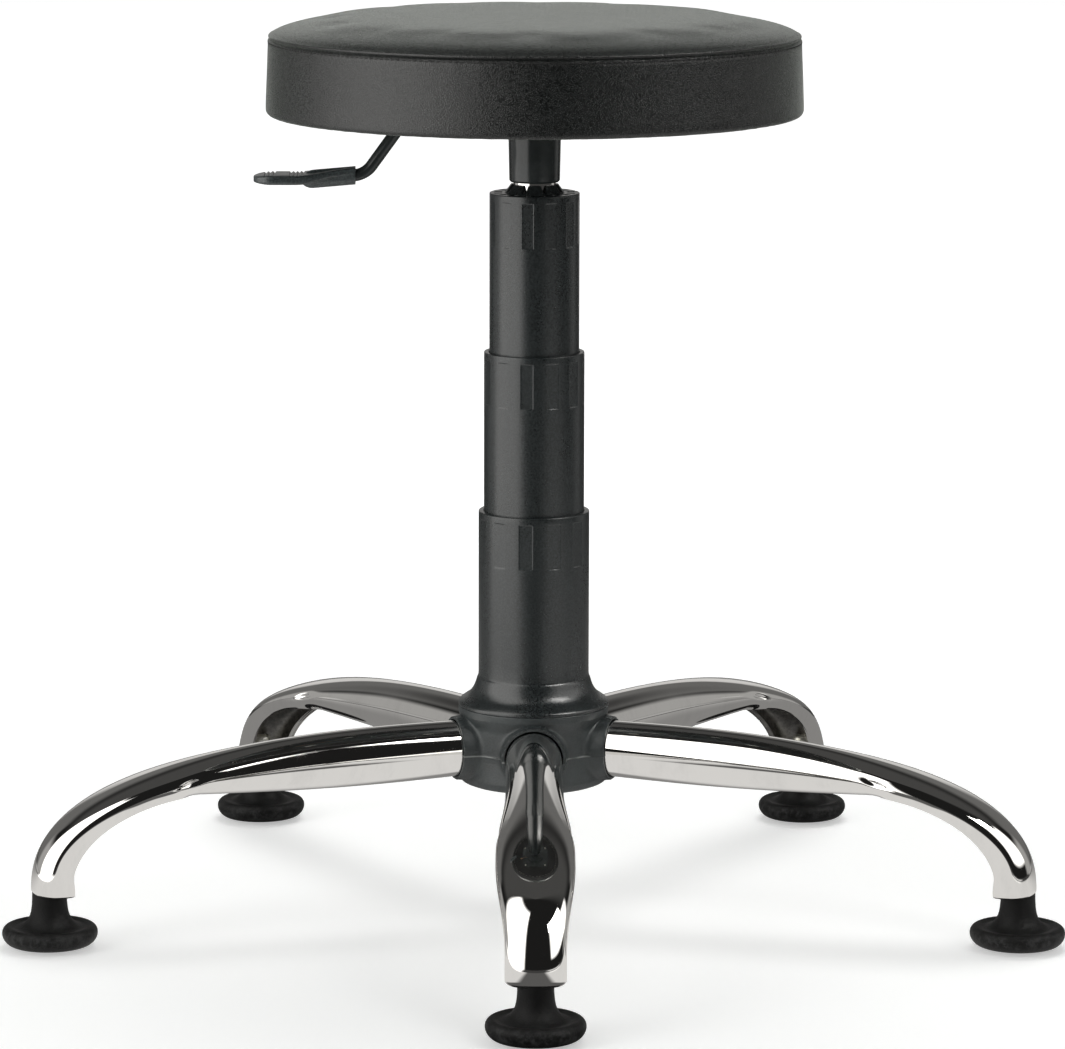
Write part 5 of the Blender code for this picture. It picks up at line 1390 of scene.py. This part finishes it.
def collared(radius, height, angle):
    """The hub's outside with a collar round each leg's root.

    A collar is a level tube of half width c = sqrt(R^2 - h^2) at a height h from the leg's axis. In the
    direction a from the leg it ends at min(reach / cos a, c / sin a), and joins the hub by a soft maximum.
    """
    middle = LEG_CROWN - TUBE_HEIGHT / 2
    half = np.sqrt(np.maximum(COLLAR_RADIUS**2 - (height - middle) ** 2, 0))
    pitch = math.tau / LEG_COUNT
    away = np.abs((angle + pitch / 2) % pitch - pitch / 2)
    collar = np.minimum(COLLAR_REACH / np.cos(away), half / np.maximum(np.sin(away), 1e-4))
    collar = np.where(half > 0, collar, 0)
    soft = COLLAR_BLEND * np.log1p(np.exp(-np.abs(radius - collar) / COLLAR_BLEND))
    return np.maximum(radius, collar) + soft * (half > 0)


def hub_profiles():
    """Closed profiles of the hub's upper and lower shell: down the outside, over the edge and up the
    inside."""
    inner_wall = HUB_WAIST - HUB_WALL
    parting, roof = HUB_PARTING + PARTING_GAP, HUB_TOP - HUB_WALL
    upper = rounded(
        [(HUB_RADIUS, HUB_TOP), (HUB_RADIUS, HUB_TOP - 0.0045), (HUB_WAIST, HUB_TOP - 0.0113),
         (HUB_WAIST, parting), (inner_wall, parting), (inner_wall, roof), (HUB_INNER, roof),
         (HUB_INNER, HUB_TOP)],
        [0.0008, 0.006, 0.012, 0, 0, 0.001, 0, 0.0004], 8,
    )
    parting, floor = HUB_PARTING - PARTING_GAP, HUB_BOTTOM + 2 * HUB_WALL
    lower = rounded(
        [(HUB_WAIST, parting), (HUB_WAIST + 0.0001, parting - 0.004), (HUB_RADIUS, HUB_BOTTOM + 0.0054),
         (HUB_RADIUS - 0.0012, HUB_BOTTOM + 0.0016), (HUB_RADIUS - 0.0052, HUB_BOTTOM),
         (HUB_INNER, HUB_BOTTOM), (HUB_INNER, floor), (inner_wall, floor), (inner_wall, parting)],
        [0, 0.01, 0.004, 0.003, 0.002, 0.0004, 0, 0.001, 0], 8,
    )
    return {"upper": upper, "lower": lower}


def make_hub():
    """The hub's two moulded shells, with an arch for each leg and flash on the parting line."""
    angle = turns(HUB_COLUMNS)[None]
    flash = sizes().flash_height * np.clip(0.45 + 0.55 * ripple(angle, 51, 9, 60, 12), 0, 1)
    wave = PARTING_WAVE * ripple(angle, 52, 5, 24, 9)
    for kind, profile in hub_profiles().items():
        profile = finer(profile, HUB_SPACING, closed=True)
        radius = np.repeat(profile[:, :1], HUB_COLUMNS, axis=1)
        height = np.repeat(profile[:, 1:], HUB_COLUMNS, axis=1)
        outer = smoothstep(radius, HUB_WAIST - 0.0012, HUB_WAIST - 0.0004)
        radius = radius * (1 - outer) + collared(radius, height, angle) * outer
        radius = radius + flash * hill(height - HUB_PARTING, 0.0005) * (radius > HUB_WAIST - 0.001)
        height = height + wave * hill(height - HUB_PARTING, 0.004)
        shell = surface(f"hub_shell_{kind}", round_points(radius, height, angle), closed=True)
        carved(shell, hub_cutters(kind))
        finished(shell, "base", "black_plastic", hub_plastic, f"hub_{kind}")


def leg_back(turn):
    """The leg's back line as distances and heights: a superellipse from the shoulder to the toe."""
    across = np.sin(turn) ** (2 / BACK_POWER)
    up = np.abs(np.cos(turn)) ** (2 / BACK_POWER)
    reach = FOOT_RADIUS + TOE - SHOULDER_START
    return SHOULDER_START + reach * across, LEG_TIP + (LEG_CROWN - LEG_TIP) * up


def bend_turn():
    """The turn at which the back line passes over the start of the underside's bend."""
    share = (BEND_START - SHOULDER_START) / (FOOT_RADIUS + TOE - SHOULDER_START)
    return math.asin(share ** (BACK_POWER / 2))


def leg_underside(turn, distance):
    """The leg's underside: a slight sag, then past the bend a superellipse to the heel."""
    tube_bottom = LEG_CROWN - TUBE_HEIGHT
    along = np.clip((distance - SHOULDER_START) / (BEND_START - SHOULDER_START), 0, 1)
    straight = tube_bottom - TUBE_SAG * np.sin(math.pi * along)
    quarter = math.pi / 2
    bend = np.clip((turn - bend_turn()) / (quarter - bend_turn()), 0, 1) * quarter
    reach = FOOT_RADIUS - HEEL - BEND_START
    out = BEND_START + reach * np.sin(bend) ** (2 / UNDERSIDE_POWER)
    down = LEG_TIP + (tube_bottom - LEG_TIP) * np.abs(np.cos(bend)) ** (2 / UNDERSIDE_POWER)
    before = distance < BEND_START
    return np.where(before, distance, out), np.where(before, straight, down)


def leg_stations(count):
    """Turns of the leg's sections, evenly spread along its back line."""
    turn = np.linspace(0, math.pi / 2, 4000)
    distance, height = leg_back(turn)
    way = path_length(np.stack([distance, height], axis=-1))
    return np.interp(np.linspace(0, way[-1], count), way, turn)


def leg_section_curve(openness, trim):
    """Middle line of the leg's wall as (across, up) from -1 to 1, for sections closed to open.

    The upper half is an ellipse. The lower half blends from an ellipse into straight side walls that
    lean in a little, so the two lips part as the tube opens. A trimmed section's side walls are shorter.
    """
    way = np.linspace(-1, 1, LEG_OUTLINE)[None]
    reach = np.abs(way) * 2
    upper = np.clip(reach, 0, 1) * math.pi / 2
    lower = np.clip(reach - 1, 0, 1)
    below = lower * math.pi / 2
    openness = openness[:, None]
    leaning = 1 - LIP_LEAN * lower**3
    across = np.where(reach <= 1, np.sin(upper), np.cos(below) * (1 - openness) + leaning * openness)
    shorter = -lower * (1 - trim[:, None])
    up = np.where(reach <= 1, np.cos(upper), -np.sin(below) * (1 - openness) + shorter * openness)
    seam = LIP_SEAM * (reach > 1.999) * (1 - openness)
    return np.sign(way) * (across + seam), up


def make_leg_grid():
    """One leg about the column's axis, pointing to the front, as a grid: rows along it, columns round
    its wall's section: the outside from lip to lip, a round lip, the inside back and the other lip."""
    turn = leg_stations(LEG_STATIONS)
    back_distance, back_height = leg_back(turn)
    low_distance, low_height = leg_underside(turn, back_distance)
    root = np.array([LEG_START, (LEG_START + SHOULDER_START) / 2])
    back = np.stack([
        np.concatenate([root, back_distance]), np.concatenate([np.full(2, LEG_CROWN), back_height]),
    ], axis=-1)
    low = np.stack([
        np.concatenate([root, low_distance]),
        np.concatenate([np.full(2, LEG_CROWN - TUBE_HEIGHT), low_height]),
    ], axis=-1)
    turn = np.concatenate([np.zeros(2), turn])
    swell = smoothstep(turn, *SWELL_TURNS) * (SHOULDER_WIDTH - TUBE_WIDTH)
    fall = smoothstep(turn, *FALL_TURNS) * (SHOULDER_WIDTH - TIP_WIDTH)
    width = (TUBE_WIDTH + swell - fall)[:, None]
    openness = smoothstep(turn - bend_turn(), *OPENING_TURNS)
    wall = (TUBE_WALL + (RIM_WALL - TUBE_WALL) * openness)[:, None]
    trim = LIP_TRIM * smoothstep(low[:, 1] - LEG_TIP, TRIM_START, TRIM_END)
    across, up = leg_section_curve(openness, trim)
    half_height = np.linalg.norm(back - low, axis=1, keepdims=True) / 2
    line = np.stack([across * (width - wall) / 2, up * (half_height - wall / 2)], axis=-1)
    step = np.gradient(line, axis=1)
    normal = np.stack([-step[..., 1], step[..., 0]], axis=-1) / np.linalg.norm(step, axis=-1, keepdims=True)
    normal = normal * np.sign((normal * line).sum(axis=-1, keepdims=True) + 1e-12)
    middle = (back + low) / 2
    half_wall = (wall / 2 * foot_rounding(middle[:, 1]))[..., None]
    pinch = pressed_crease(back[:, 0])[..., None]
    loop = np.concatenate([
        line + normal * (half_wall - pinch), lip_arc(line[:, -1:], normal[:, -1:], half_wall, 1),
        (line - normal * half_wall)[:, ::-1],
        lip_arc(line[:, :1], normal[:, :1], half_wall, -1)[:, ::-1],
    ], axis=1)
    direction = (back - low) / np.linalg.norm(back - low, axis=1, keepdims=True)
    place = middle[:, None] + direction[:, None] * loop[..., 1:]
    return np.stack([loop[..., 0], -place[..., 0], place[..., 1]], axis=-1)


def pressed_crease(distance):
    """Depth of the crease pressed into each side where the tube opens: a bell along the leg and round it."""
    side = np.abs(np.linspace(-1, 1, LEG_OUTLINE))[None] - PINCH_SIDE
    along = hill((distance - PINCH_PLACE)[:, None] - PINCH_SLANT * side, PINCH_LENGTH)
    return sizes().pinch_depth * along * hill(side, PINCH_WIDTH)


def foot_rounding(level):
    """Share of the wall left at each station: it thins as a quarter circle over the last of the foot."""
    left = np.clip((level - level[-1]) / FOOT_ROUND, 0, 1)
    return np.sqrt(np.clip(1 - (1 - left) ** 2, FOOT_THINNEST, 1))[:, None]


def lip_arc(line, normal, half_wall, way):
    """A half circle round a lip's end, from the outside to the inside."""
    angle = np.linspace(0, math.pi, LIP_POINTS + 2)[None, 1:-1, None]
    ahead = np.stack([-normal[..., 1], normal[..., 0]], axis=-1) * way
    return line + half_wall * (normal * np.cos(angle) + ahead * np.sin(angle))


def leg_surface(name, points, angle):
    """A leg turned to its place, with flat ends between the outside and the inside of its wall. An
    attribute marks the inside."""
    placed = turned_about(points, angle)
    rows, columns = placed.shape[:2]
    quads, index = grid_faces(rows, columns, False)
    inside_start, inside_end = LEG_OUTLINE + LIP_POINTS, 2 * LEG_OUTLINE + LIP_POINTS
    outer = np.arange(LEG_OUTLINE)
    inner = np.arange(inside_start, inside_end)[::-1]
    first_lip = np.concatenate([np.arange(LEG_OUTLINE - 1, inside_start), [inner[-1]]])
    last_lip = np.concatenate([[inner[0]], np.arange(inside_end, columns), [outer[0]]])
    cap_quads, cap_triangles = [], []
    for ring, order in ((index[0], -1), (index[-1], 1)):
        cap = np.stack([ring[outer[:-1]], ring[outer[1:]], ring[inner[1:]], ring[inner[:-1]]], -1)
        cap_quads.append(cap[:, ::order])
        for edge in (first_lip, last_lip):
            fan = np.stack([np.full(len(edge) - 2, edge[0]), edge[1:-1], edge[2:]], -1)
            cap_triangles.append(ring[fan][:, ::order])
    quads = np.concatenate([quads, *cap_quads])
    mesh = build_mesh(name, placed.reshape(-1, 3), quads, np.concatenate(cap_triangles))
    dull = np.zeros(columns)
    dull[LEG_OUTLINE + 1:inside_end - 1] = 1.0
    inside = mesh.attributes.new("inside", "FLOAT", "POINT")
    inside.data.foreach_set("value", np.tile(dull, rows).astype(np.float32))
    return new_object(name, mesh, 60)


def make_legs():
    """The five legs, and the bosses in their feet."""
    grid = make_leg_grid()
    bore = STEM_RADIUS + GAP
    boss = rounded(
        [(bore, BOSS_TOP), (0.0066, BOSS_TOP), (0.0071, 0.0560), (0.0084, 0.0372), (0.0086, BOSS_FOOT),
         (bore, BOSS_FOOT)],
        [0.0006, 0.0012, 0.002, 0.001, 0.0004, 0.0003],
    )
    boss = finer(boss, 0.002, closed=True)
    for number, angle in enumerate(leg_angles(), 1):
        leg = leg_surface(f"leg_channel_{number}", grid, angle)
        finished(leg, "base", "chrome", chrome_plate, f"leg_{number}")
        foot = leg_spot(FOOT_RADIUS, angle)
        cone = lathe(f"leg_boss_{number}", boss, 64, closed=True, centre=foot)
        finished(cone, "base", "chrome", zinc_plate)


def make_glides():
    """Dished glides: a neck that flares into a fat rounded rim, on a flat sole."""
    bore = STEM_RADIUS + GAP
    outside = eased(np.array([
        (0.0112, GLIDE_TOP), (0.0113, 0.0300), (0.0115, 0.0262), (0.0119, 0.0228), (0.0126, 0.0196),
        (0.0140, 0.0165), (0.0162, 0.0138), (0.0190, 0.0120), (0.0217, 0.0113), (0.0240, 0.0118),
        (0.0266, 0.0124), (0.0290, 0.0117), (0.0306, 0.0098), (0.0311, 0.0074), (0.0306, 0.0047),
        (0.0290, 0.0021), (0.0268, 0.0004), (0.0250, 0.0),
    ]), 2)
    inside = [(0, GLIDE_BORE_TOP), (bore, GLIDE_BORE_TOP), (bore, GLIDE_TOP), (0.0108, GLIDE_TOP)]
    profile = np.concatenate([inside, outside, [(0, 0)]])
    for number, angle in enumerate(leg_angles(), 1):
        foot = leg_spot(FOOT_RADIUS, angle)
        glide = lathe(f"glide_foot_{number}", profile, 128, sharp=45, centre=foot)
        finished(glide, "base", "glide_plastic", glide_plastic, f"glide_{number}")


# The lever

def make_lever_rod():
    """The bent release rod: straight runs joined by arcs, painted black, with rounded ends. Its inner end
    is a little thinner, to clear the seat plate when the lever lifts."""
    level = rod_level()
    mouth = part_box("lever_paddle")[1].x
    steep, gentle = math.tan(LEVER_SLOPE), math.tan(SOCKET_SLOPE)
    elbow = (LEVER_DROP + steep * LEVER_CORNER + gentle * mouth) / (gentle - steep)
    end = mouth - ROD_DEPTH
    path = rounded(
        [(LEVER_INNER_END, 0, level), (-LEVER_CORNER, 0, level),
         (elbow, 0, level - LEVER_DROP + (elbow - mouth) * gentle),
         (end, 0, level - LEVER_DROP + (end - mouth) * gentle)],
        [0, LEVER_UPPER_BEND, LEVER_LOWER_BEND, 0], 18,
    )
    path = finer(path, 0.004)
    path[:, 1] += AXIS_Y
    way = path_length(path)
    left = np.minimum(way, way[-1] - way)
    radius = ROD_RADIUS - ROD_CHAMFER * (1 - np.clip(left / ROD_CHAMFER, 0, 1))
    radius = radius - LEVER_INNER_TAPER * (1 - smoothstep(way, TAPER_START, TAPER_END))
    rod = surface("lever_bar", wire_along(path, 40, radius, radius), sharp=40)
    finished(rod, "lever", "black_paint", gloss_paint, "lever_rod")


def rod_level():
    """Height of the lever's straight inner run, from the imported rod's top."""
    return corner_levels("lever_rod")[1] - ROD_RADIUS


def paddle_bore(mouth, level, columns):
    """Rings of the socket's mouth and bore, from its edge to the middle of its end."""
    turn = np.concatenate([
        np.linspace(math.pi, 0, columns), np.linspace(0, -math.pi, columns)[1:-1],
    ])[None]
    bore = ROD_RADIUS + GAP
    rings = np.array([
        (0.0, 0.0051), (0.0, bore + 0.0002), (0.0004, bore), (PADDLE_BORE_DEPTH, bore),
        (PADDLE_BORE_DEPTH, 0.0),
    ])
    depth, radius = rings[:, :1], rings[:, 1:]
    centre = level - depth * math.tan(SOCKET_SLOPE)
    y, z = radius * np.cos(turn), centre + radius * np.sin(turn)
    return np.stack([mouth - depth + 0 * y, AXIS_Y + y, z], axis=-1)


def make_paddle():
    """The moulded paddle: a flat pad that rises over a round socket, with grip grooves across its top.

    Each section's top is the higher, and its bottom the lower, of two curves over y: a superellipse
    h (1 - |y/w|^p)^(1/p) for the pad and a circle sqrt(R^2 - y^2) for the socket. The socket's rounded end
    fades out under the pad, so a crease runs slantwise between the two.
    """
    low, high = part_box("lever_paddle")
    mouth, tip = high.x, low.x
    length = mouth - tip
    level = rod_level() - LEVER_DROP
    columns = 64
    along = np.concatenate([np.linspace(0, 0.0036, 20), np.linspace(0.0038, length, 300)])[:, None]
    x = tip + along
    spread_out = np.sin(np.linspace(-math.pi / 2, math.pi / 2, columns))[None]
    tip_share = np.clip(along / TIP_LENGTH, 0, 1)
    plan = np.sqrt(np.clip(1 - (1 - tip_share) ** 2.4, 0.0004, 1))
    neck = smoothstep(along, length - 0.037, length - 0.002)
    width = PAD_HALF_WIDTH * plan * (1 - neck) + NECK_HALF_WIDTH * neck
    thin = 0.45 + 0.55 * np.sqrt(np.clip(along / 0.010, 0, 1))
    half_height = (PAD_HALF_HEIGHT * (1 - neck) + NECK_HALF_HEIGHT * neck) * thin
    middle = level - PAD_DROP + PAD_RISE * smoothstep(along, length - 0.040, length + 0.004)
    ball = np.clip((mouth - SOCKET_LENGTH - x) / 0.0085, 0, 1)
    socket = PADDLE_MOUTH_RADIUS * np.sqrt(1 - ball**2)
    socket_middle = level + (x - mouth) * math.tan(SOCKET_SLOPE)
    reach = np.maximum(width, socket) * (1 - 0.05 * hill(x - mouth, 0.0005))
    y = reach * spread_out
    across = np.clip(np.abs(y) / width, 0, 1)
    dome_top = half_height * (1 - across**TOP_POWER) ** (1 / TOP_POWER)
    dome_bottom = half_height * (1 - across**BOTTOM_POWER) ** (1 / BOTTOM_POWER)
    middle = middle + PAD_LEAN * y * (1 - neck)
    on_socket = np.abs(y) < socket
    circle = np.sqrt(np.maximum(socket**2 - y**2, 0))
    groove = rib_wave(x) * smoothstep(y + width, 0.0024, 0.0032)
    top = middle + dome_top - GROOVE_DEPTH * groove * (across < 0.999)
    top = np.where(on_socket, np.maximum(top, socket_middle + circle), top)
    bottom = middle - dome_bottom
    bottom = np.where(on_socket, np.minimum(bottom, socket_middle - circle), bottom)
    upper = np.stack([x + 0 * y, AXIS_Y + y, top], axis=-1)
    lower = np.stack([x + 0 * y, AXIS_Y + y, bottom], axis=-1)[:, ::-1]
    body = np.concatenate([upper, lower[:, 1:-1]], axis=1)
    points = np.concatenate([body, paddle_bore(mouth, level, columns)])
    paddle = surface("lever_grip", points, sharp=32)
    finished(paddle, "lever", "black_plastic", paddle_plastic, "lever_paddle")


def rib_wave(x):
    """Depth of the grip grooves along the paddle: rounded slots at several places, 0 to 1."""
    wave = np.zeros_like(x)
    for middle in GROOVES:
        wave = np.maximum(wave, 1 - smoothstep(np.abs(x - middle), 0.0004, 0.0009))
    return wave


# What the frame keeps

CARRIED = {
    "column_tube": gloss_paint, "mount_plate": gloss_paint, "guide_bush": white_acetal,
    "bump_stop": black_rubber, "thrust_bearing": ground_steel, "retaining_clip": ground_steel,
    "piston_rod": ground_steel, "piston": ground_steel, "hub_core": ground_steel,
    "lever_pin": ground_steel, "rod_guide": satin_plastic, "release_button": satin_plastic,
    "seat_board": plywood,
}
CARRIED_GROUPS = {"leg_screw": 5, "glide_stem": 5, "plate_screw": 4, "tee_nut": 4}


def dress_carried():
    """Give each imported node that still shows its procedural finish."""
    recipes = dict(CARRIED)
    for stem, count in CARRIED_GROUPS.items():
        recipes.update({f"{stem}_{number}": zinc_plate for number in range(1, count + 1)})
    for node, recipe in recipes.items():
        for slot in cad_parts[node].material_slots:
            slot.material = material(recipe)


# The studio

def sector_light(across, upward):
    """Brightness of the studio in a direction, in degrees: across from the front, positive to the right,
    and upward. A large window at the left, a lamp and a high strip at the right, a dark gap between them
    where the camera stands, grey sides behind, and a backdrop that grows white above its foot."""
    away = abs(across)
    light = 0.012
    for angle, area in ((across, WINDOW_AREA), (across, KEY_AREA), (across, STRIP_AREA), (away, SIDE_AREAS)):
        sideways, upright, brightness = area
        light = angle.within(*sideways) * upward.within(*upright) * brightness + light
    behind = away.step(120, 130) * upward.within(-3, 34, 6) * 0.13
    backdrop = away.step(158, 168) * upward.within(2.5, 19, 2) * 0.5
    ceiling = upward.step(34, 50) * away.step(84, 112) * 0.05
    return light + behind + backdrop + ceiling


def bearing(x, y):
    """Degrees round the stool of a direction, from the front, positive to the right."""
    return x.maths("ARCTAN2", y * -1) * math.degrees(1)


def studio_world(f):
    """Even light for matt surfaces, white for the camera, and for gloss the studio by its directions."""
    direction = f.node("ShaderNodeTexCoord", output="Generated")
    x, y, z = (f.part(direction, name) for name in "XYZ")
    gloss = sector_light(bearing(x, y), z.maths("ARCSINE") * math.degrees(1))
    camera = f.node("ShaderNodeLightPath", output="Is Camera Ray")
    mirror = f.node("ShaderNodeLightPath", output="Is Glossy Ray")
    fill = bpy.context.scene.stool_studio.fill
    even = f.node("ShaderNodeBackground", {}, {"Color": (0.97, 1.0, 0.985), "Strength": fill})
    seen = f.node("ShaderNodeBackground", {}, {"Color": (1.0, 0.985, 0.96), "Strength": gloss})
    white = f.node("ShaderNodeBackground", {}, {"Color": (1.0, 1.0, 1.0), "Strength": 1.0})
    lit = f.node("ShaderNodeMixShader", {}, {0: mirror, 1: even, 2: seen})
    return f.node("ShaderNodeMixShader", {}, {0: camera, 1: lit, 2: white})


def floor_paper(f):
    """Pale paper that glows white to the camera but for the stool's shadow. In reflections it glows instead
    of being lit: painted light grey near the stool, and further out painted light of the lamps and the
    studio in each direction."""
    tooth = f.noise(900, 3.0)
    camera = f.node("ShaderNodeLightPath", output="Is Camera Ray")
    mirror = f.node("ShaderNodeLightPath", output="Is Glossy Ray")
    x, y = f.axis("X"), f.axis("Y") - AXIS_Y
    far = (x * x + y * y) ** 0.5
    across = bearing(x, y)
    matt = f.surface(base_color=f.mix(tooth, (0.80, 0.80, 0.79), (0.84, 0.84, 0.83)), roughness=0.9)
    own = camera * (0.44 + far.step(0.4, 2.2) * 0.4)
    glow = f.node("ShaderNodeEmission", {}, {"Color": (1, 1, 1), "Strength": own})
    paper = f.node("ShaderNodeAddShader", {}, {0: matt, 1: glow})
    away = abs(across)
    # Painted reflections of the paper: a dark gap in front of the stool, light grey near it, a ring of
    # light, pools of the window's and the key's light, and the light of the sides and the backdrop further
    # out.
    gap = (1 - away.step(13, 22)) * far.step(0.27, 0.32)
    near = (1 - far.step(1.05, 1.3)) * (0.20 + (1 - away.step(82, 124)) * 0.48) * (1 - gap * 0.92)
    rim = far.within(0.95, 1.25, 0.08) * away.within(26, 60, 4) * 0.35
    window = across.within(-100, -30, 6) * far.step(1.05, 1.2) * 1.9
    key = across.within(26, 66, 8) * far.within(1.5, 2.4, 0.3) * 0.8
    sides = away.within(104, 128, 6) * far.step(1.3, 1.6) * 0.36
    backdrop = away.step(150, 162) * far.step(2.6, 3.4) * 0.5
    light = near + rim + window + key + sides + backdrop + 0.05
    grey = f.node("ShaderNodeEmission", {}, {"Color": (1.0, 0.985, 0.965), "Strength": light})
    return f.node("ShaderNodeMixShader", {}, {0: mirror, 1: paper, 2: grey})


def soft_lamp(name, place, size, power):
    """A rectangular lamp that faces the stool and stays out of mirrors, where the world draws it."""
    data = bpy.data.lights.new(name, "AREA")
    data.shape = "RECTANGLE"
    data.size, data.size_y = size
    data.energy = power
    lamp = bpy.data.objects.new(name, data)
    bpy.context.scene.collection.objects.link(lamp)
    toward = np.array(LAMP_TARGET) - np.array(place)
    yaw = math.atan2(toward[0], toward[1])
    pitch = math.atan2(toward[2], math.hypot(toward[0], toward[1]))
    lamp.location = place
    lamp.rotation_euler = Euler((math.pi / 2 + pitch, 0, -yaw))
    lamp.visible_camera = False
    lamp.visible_glossy = False


def make_floor():
    """A disc of paper under the stool, as a thin closed form."""
    angle = turns(64)[None]
    distance = np.linspace(0, 1, 12)[:, None] ** 2 * FLOOR_RADIUS
    disc = round_points(distance, -0.0005 - 0.002 * np.ones_like(angle) * (distance > 0), angle)
    under = disc[::-1] - np.array([0, 0, 0.01])
    floor = surface("paper_floor", np.concatenate([disc, under]))
    floor.data.materials.append(material(floor_paper))


def make_world():
    """The studio as the world's light."""
    world = bpy.data.worlds.new("studio")
    world.use_nodes = True
    finish = Finish(world.node_tree)
    finish.node("ShaderNodeOutputWorld", {}, {"Surface": studio_world(finish)})
    bpy.context.scene.world = world


def make_camera():
    """The photograph's camera: pitched, then turned, then rolled about its own axis."""
    data = bpy.data.cameras.new("photo_camera")
    data.sensor_width = SENSOR_WIDTH
    data.lens = CAMERA_FOCAL * SENSOR_WIDTH / PHOTO_WIDTH
    data.shift_x = CAMERA_SHIFT
    data.clip_end = 60
    camera = bpy.data.objects.new("photo_camera", data)
    bpy.context.scene.collection.objects.link(camera)
    turn = Euler((math.pi / 2 - CAMERA_PITCH, 0, CAMERA_YAW)).to_matrix().to_4x4()
    turn = turn @ Matrix.Rotation(CAMERA_ROLL, 4, "Z")
    place = (CAMERA_SIDE, AXIS_Y - CAMERA_DISTANCE, CAMERA_HEIGHT)
    camera.matrix_world = Matrix.Translation(place) @ turn
    bpy.context.scene.camera = camera


def make_lamps():
    """The studio's lamps, with the powers that the panel holds."""
    studio = bpy.context.scene.stool_studio
    for name, (place, size) in LAMPS.items():
        soft_lamp(f"{name}_lamp", place, size, getattr(studio, name))


def set_view():
    """Show colours as they are written."""
    bpy.context.scene.view_settings.view_transform = "Standard"


# Operators

class StoolOperator:
    """What the stool's operators share."""

    bl_options = {"REGISTER", "UNDO"}
    jobs = ()

    def execute(self, context):
        """Make the operator's pieces in order."""
        for job in self.jobs:
            job()
        return {"FINISHED"}


def sew_seat():
    """The cushion and the stitches in it."""
    radius, height = make_cushion()
    make_stitches(radius, height)


class STOOL_OT_seat(StoolOperator, bpy.types.Operator):
    """Build the padded seat with its seam and stitches"""

    bl_idname = "stool.seat"
    bl_label = "Seat"
    jobs = (sew_seat,)


class STOOL_OT_underside(StoolOperator, bpy.types.Operator):
    """Build the dust cloth and its staples"""

    bl_idname = "stool.underside"
    bl_label = "Underside"
    jobs = (make_dust_cloth, make_staples)


class STOOL_OT_covers(StoolOperator, bpy.types.Operator):
    """Build the three stages of the column's cover"""

    bl_idname = "stool.covers"
    bl_label = "Column covers"
    jobs = (make_stage_bottom, make_stage_middle, make_stage_top)


class STOOL_OT_spring(StoolOperator, bpy.types.Operator):
    """Build the socket and the gas cylinder"""

    bl_idname = "stool.spring"
    bl_label = "Socket and gas cylinder"
    jobs = (make_socket, make_gas_cylinder)


class STOOL_OT_hub(StoolOperator, bpy.types.Operator):
    """Build the hub's two shells"""

    bl_idname = "stool.hub"
    bl_label = "Hub"
    jobs = (make_hub,)


class STOOL_OT_legs(StoolOperator, bpy.types.Operator):
    """Build the five chrome legs with their bosses"""

    bl_idname = "stool.legs"
    bl_label = "Legs"
    jobs = (make_legs,)


class STOOL_OT_glides(StoolOperator, bpy.types.Operator):
    """Build the five glides"""

    bl_idname = "stool.glides"
    bl_label = "Glides"
    jobs = (make_glides,)


class STOOL_OT_lever(StoolOperator, bpy.types.Operator):
    """Build the release lever and its paddle"""

    bl_idname = "stool.lever"
    bl_label = "Lever"
    jobs = (make_lever_rod, make_paddle)


class STOOL_OT_carried(StoolOperator, bpy.types.Operator):
    """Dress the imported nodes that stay"""

    bl_idname = "stool.carried"
    bl_label = "Packed pieces"
    jobs = (dress_carried,)


class STOOL_OT_stage(StoolOperator, bpy.types.Operator):
    """Build the floor, the light and the camera"""

    bl_idname = "stool.stage"
    bl_label = "Studio"
    jobs = (make_floor, make_world, make_lamps, make_camera, set_view)


OPERATORS = (
    STOOL_OT_seat, STOOL_OT_underside, STOOL_OT_covers, STOOL_OT_spring, STOOL_OT_hub, STOOL_OT_legs,
    STOOL_OT_glides, STOOL_OT_lever, STOOL_OT_carried, STOOL_OT_stage,
)


class STOOL_PT_panel(bpy.types.Panel):
    """Lists the stool's pieces, sizes and colours"""

    bl_idname = "STOOL_PT_panel"
    bl_label = "Work stool"
    bl_space_type = "VIEW_3D"
    bl_region_type = "UI"
    bl_category = "Stool"

    def draw(self, context):
        """Show a button for each operator, and the settings."""
        layout = self.layout
        for operator in OPERATORS:
            layout.operator(operator.bl_idname)
        for group in (context.scene.stool_sizes, context.scene.stool_colours, context.scene.stool_studio):
            box = layout.box()
            for name in group.__annotations__:
                box.prop(group, name)


CLASSES = (StoolSizes, StoolColours, StoolStudio, *OPERATORS, STOOL_PT_panel)


def register():
    """Make the classes and their settings known."""
    for one in CLASSES:
        bpy.utils.register_class(one)
    bpy.types.Scene.stool_sizes = PointerProperty(type=StoolSizes)
    bpy.types.Scene.stool_colours = PointerProperty(type=StoolColours)
    bpy.types.Scene.stool_studio = PointerProperty(type=StoolStudio)


def unregister():
    """Take back what register did."""
    for name in ("stool_sizes", "stool_colours", "stool_studio"):
        delattr(bpy.types.Scene, name)
    for one in reversed(CLASSES):
        bpy.utils.unregister_class(one)


def main():
    """Build every piece in order."""
    register()
    for operator in OPERATORS:
        group, name = operator.bl_idname.split(".")
        getattr(getattr(bpy.ops, group), name)()


if __name__ == "__main__":
    main()
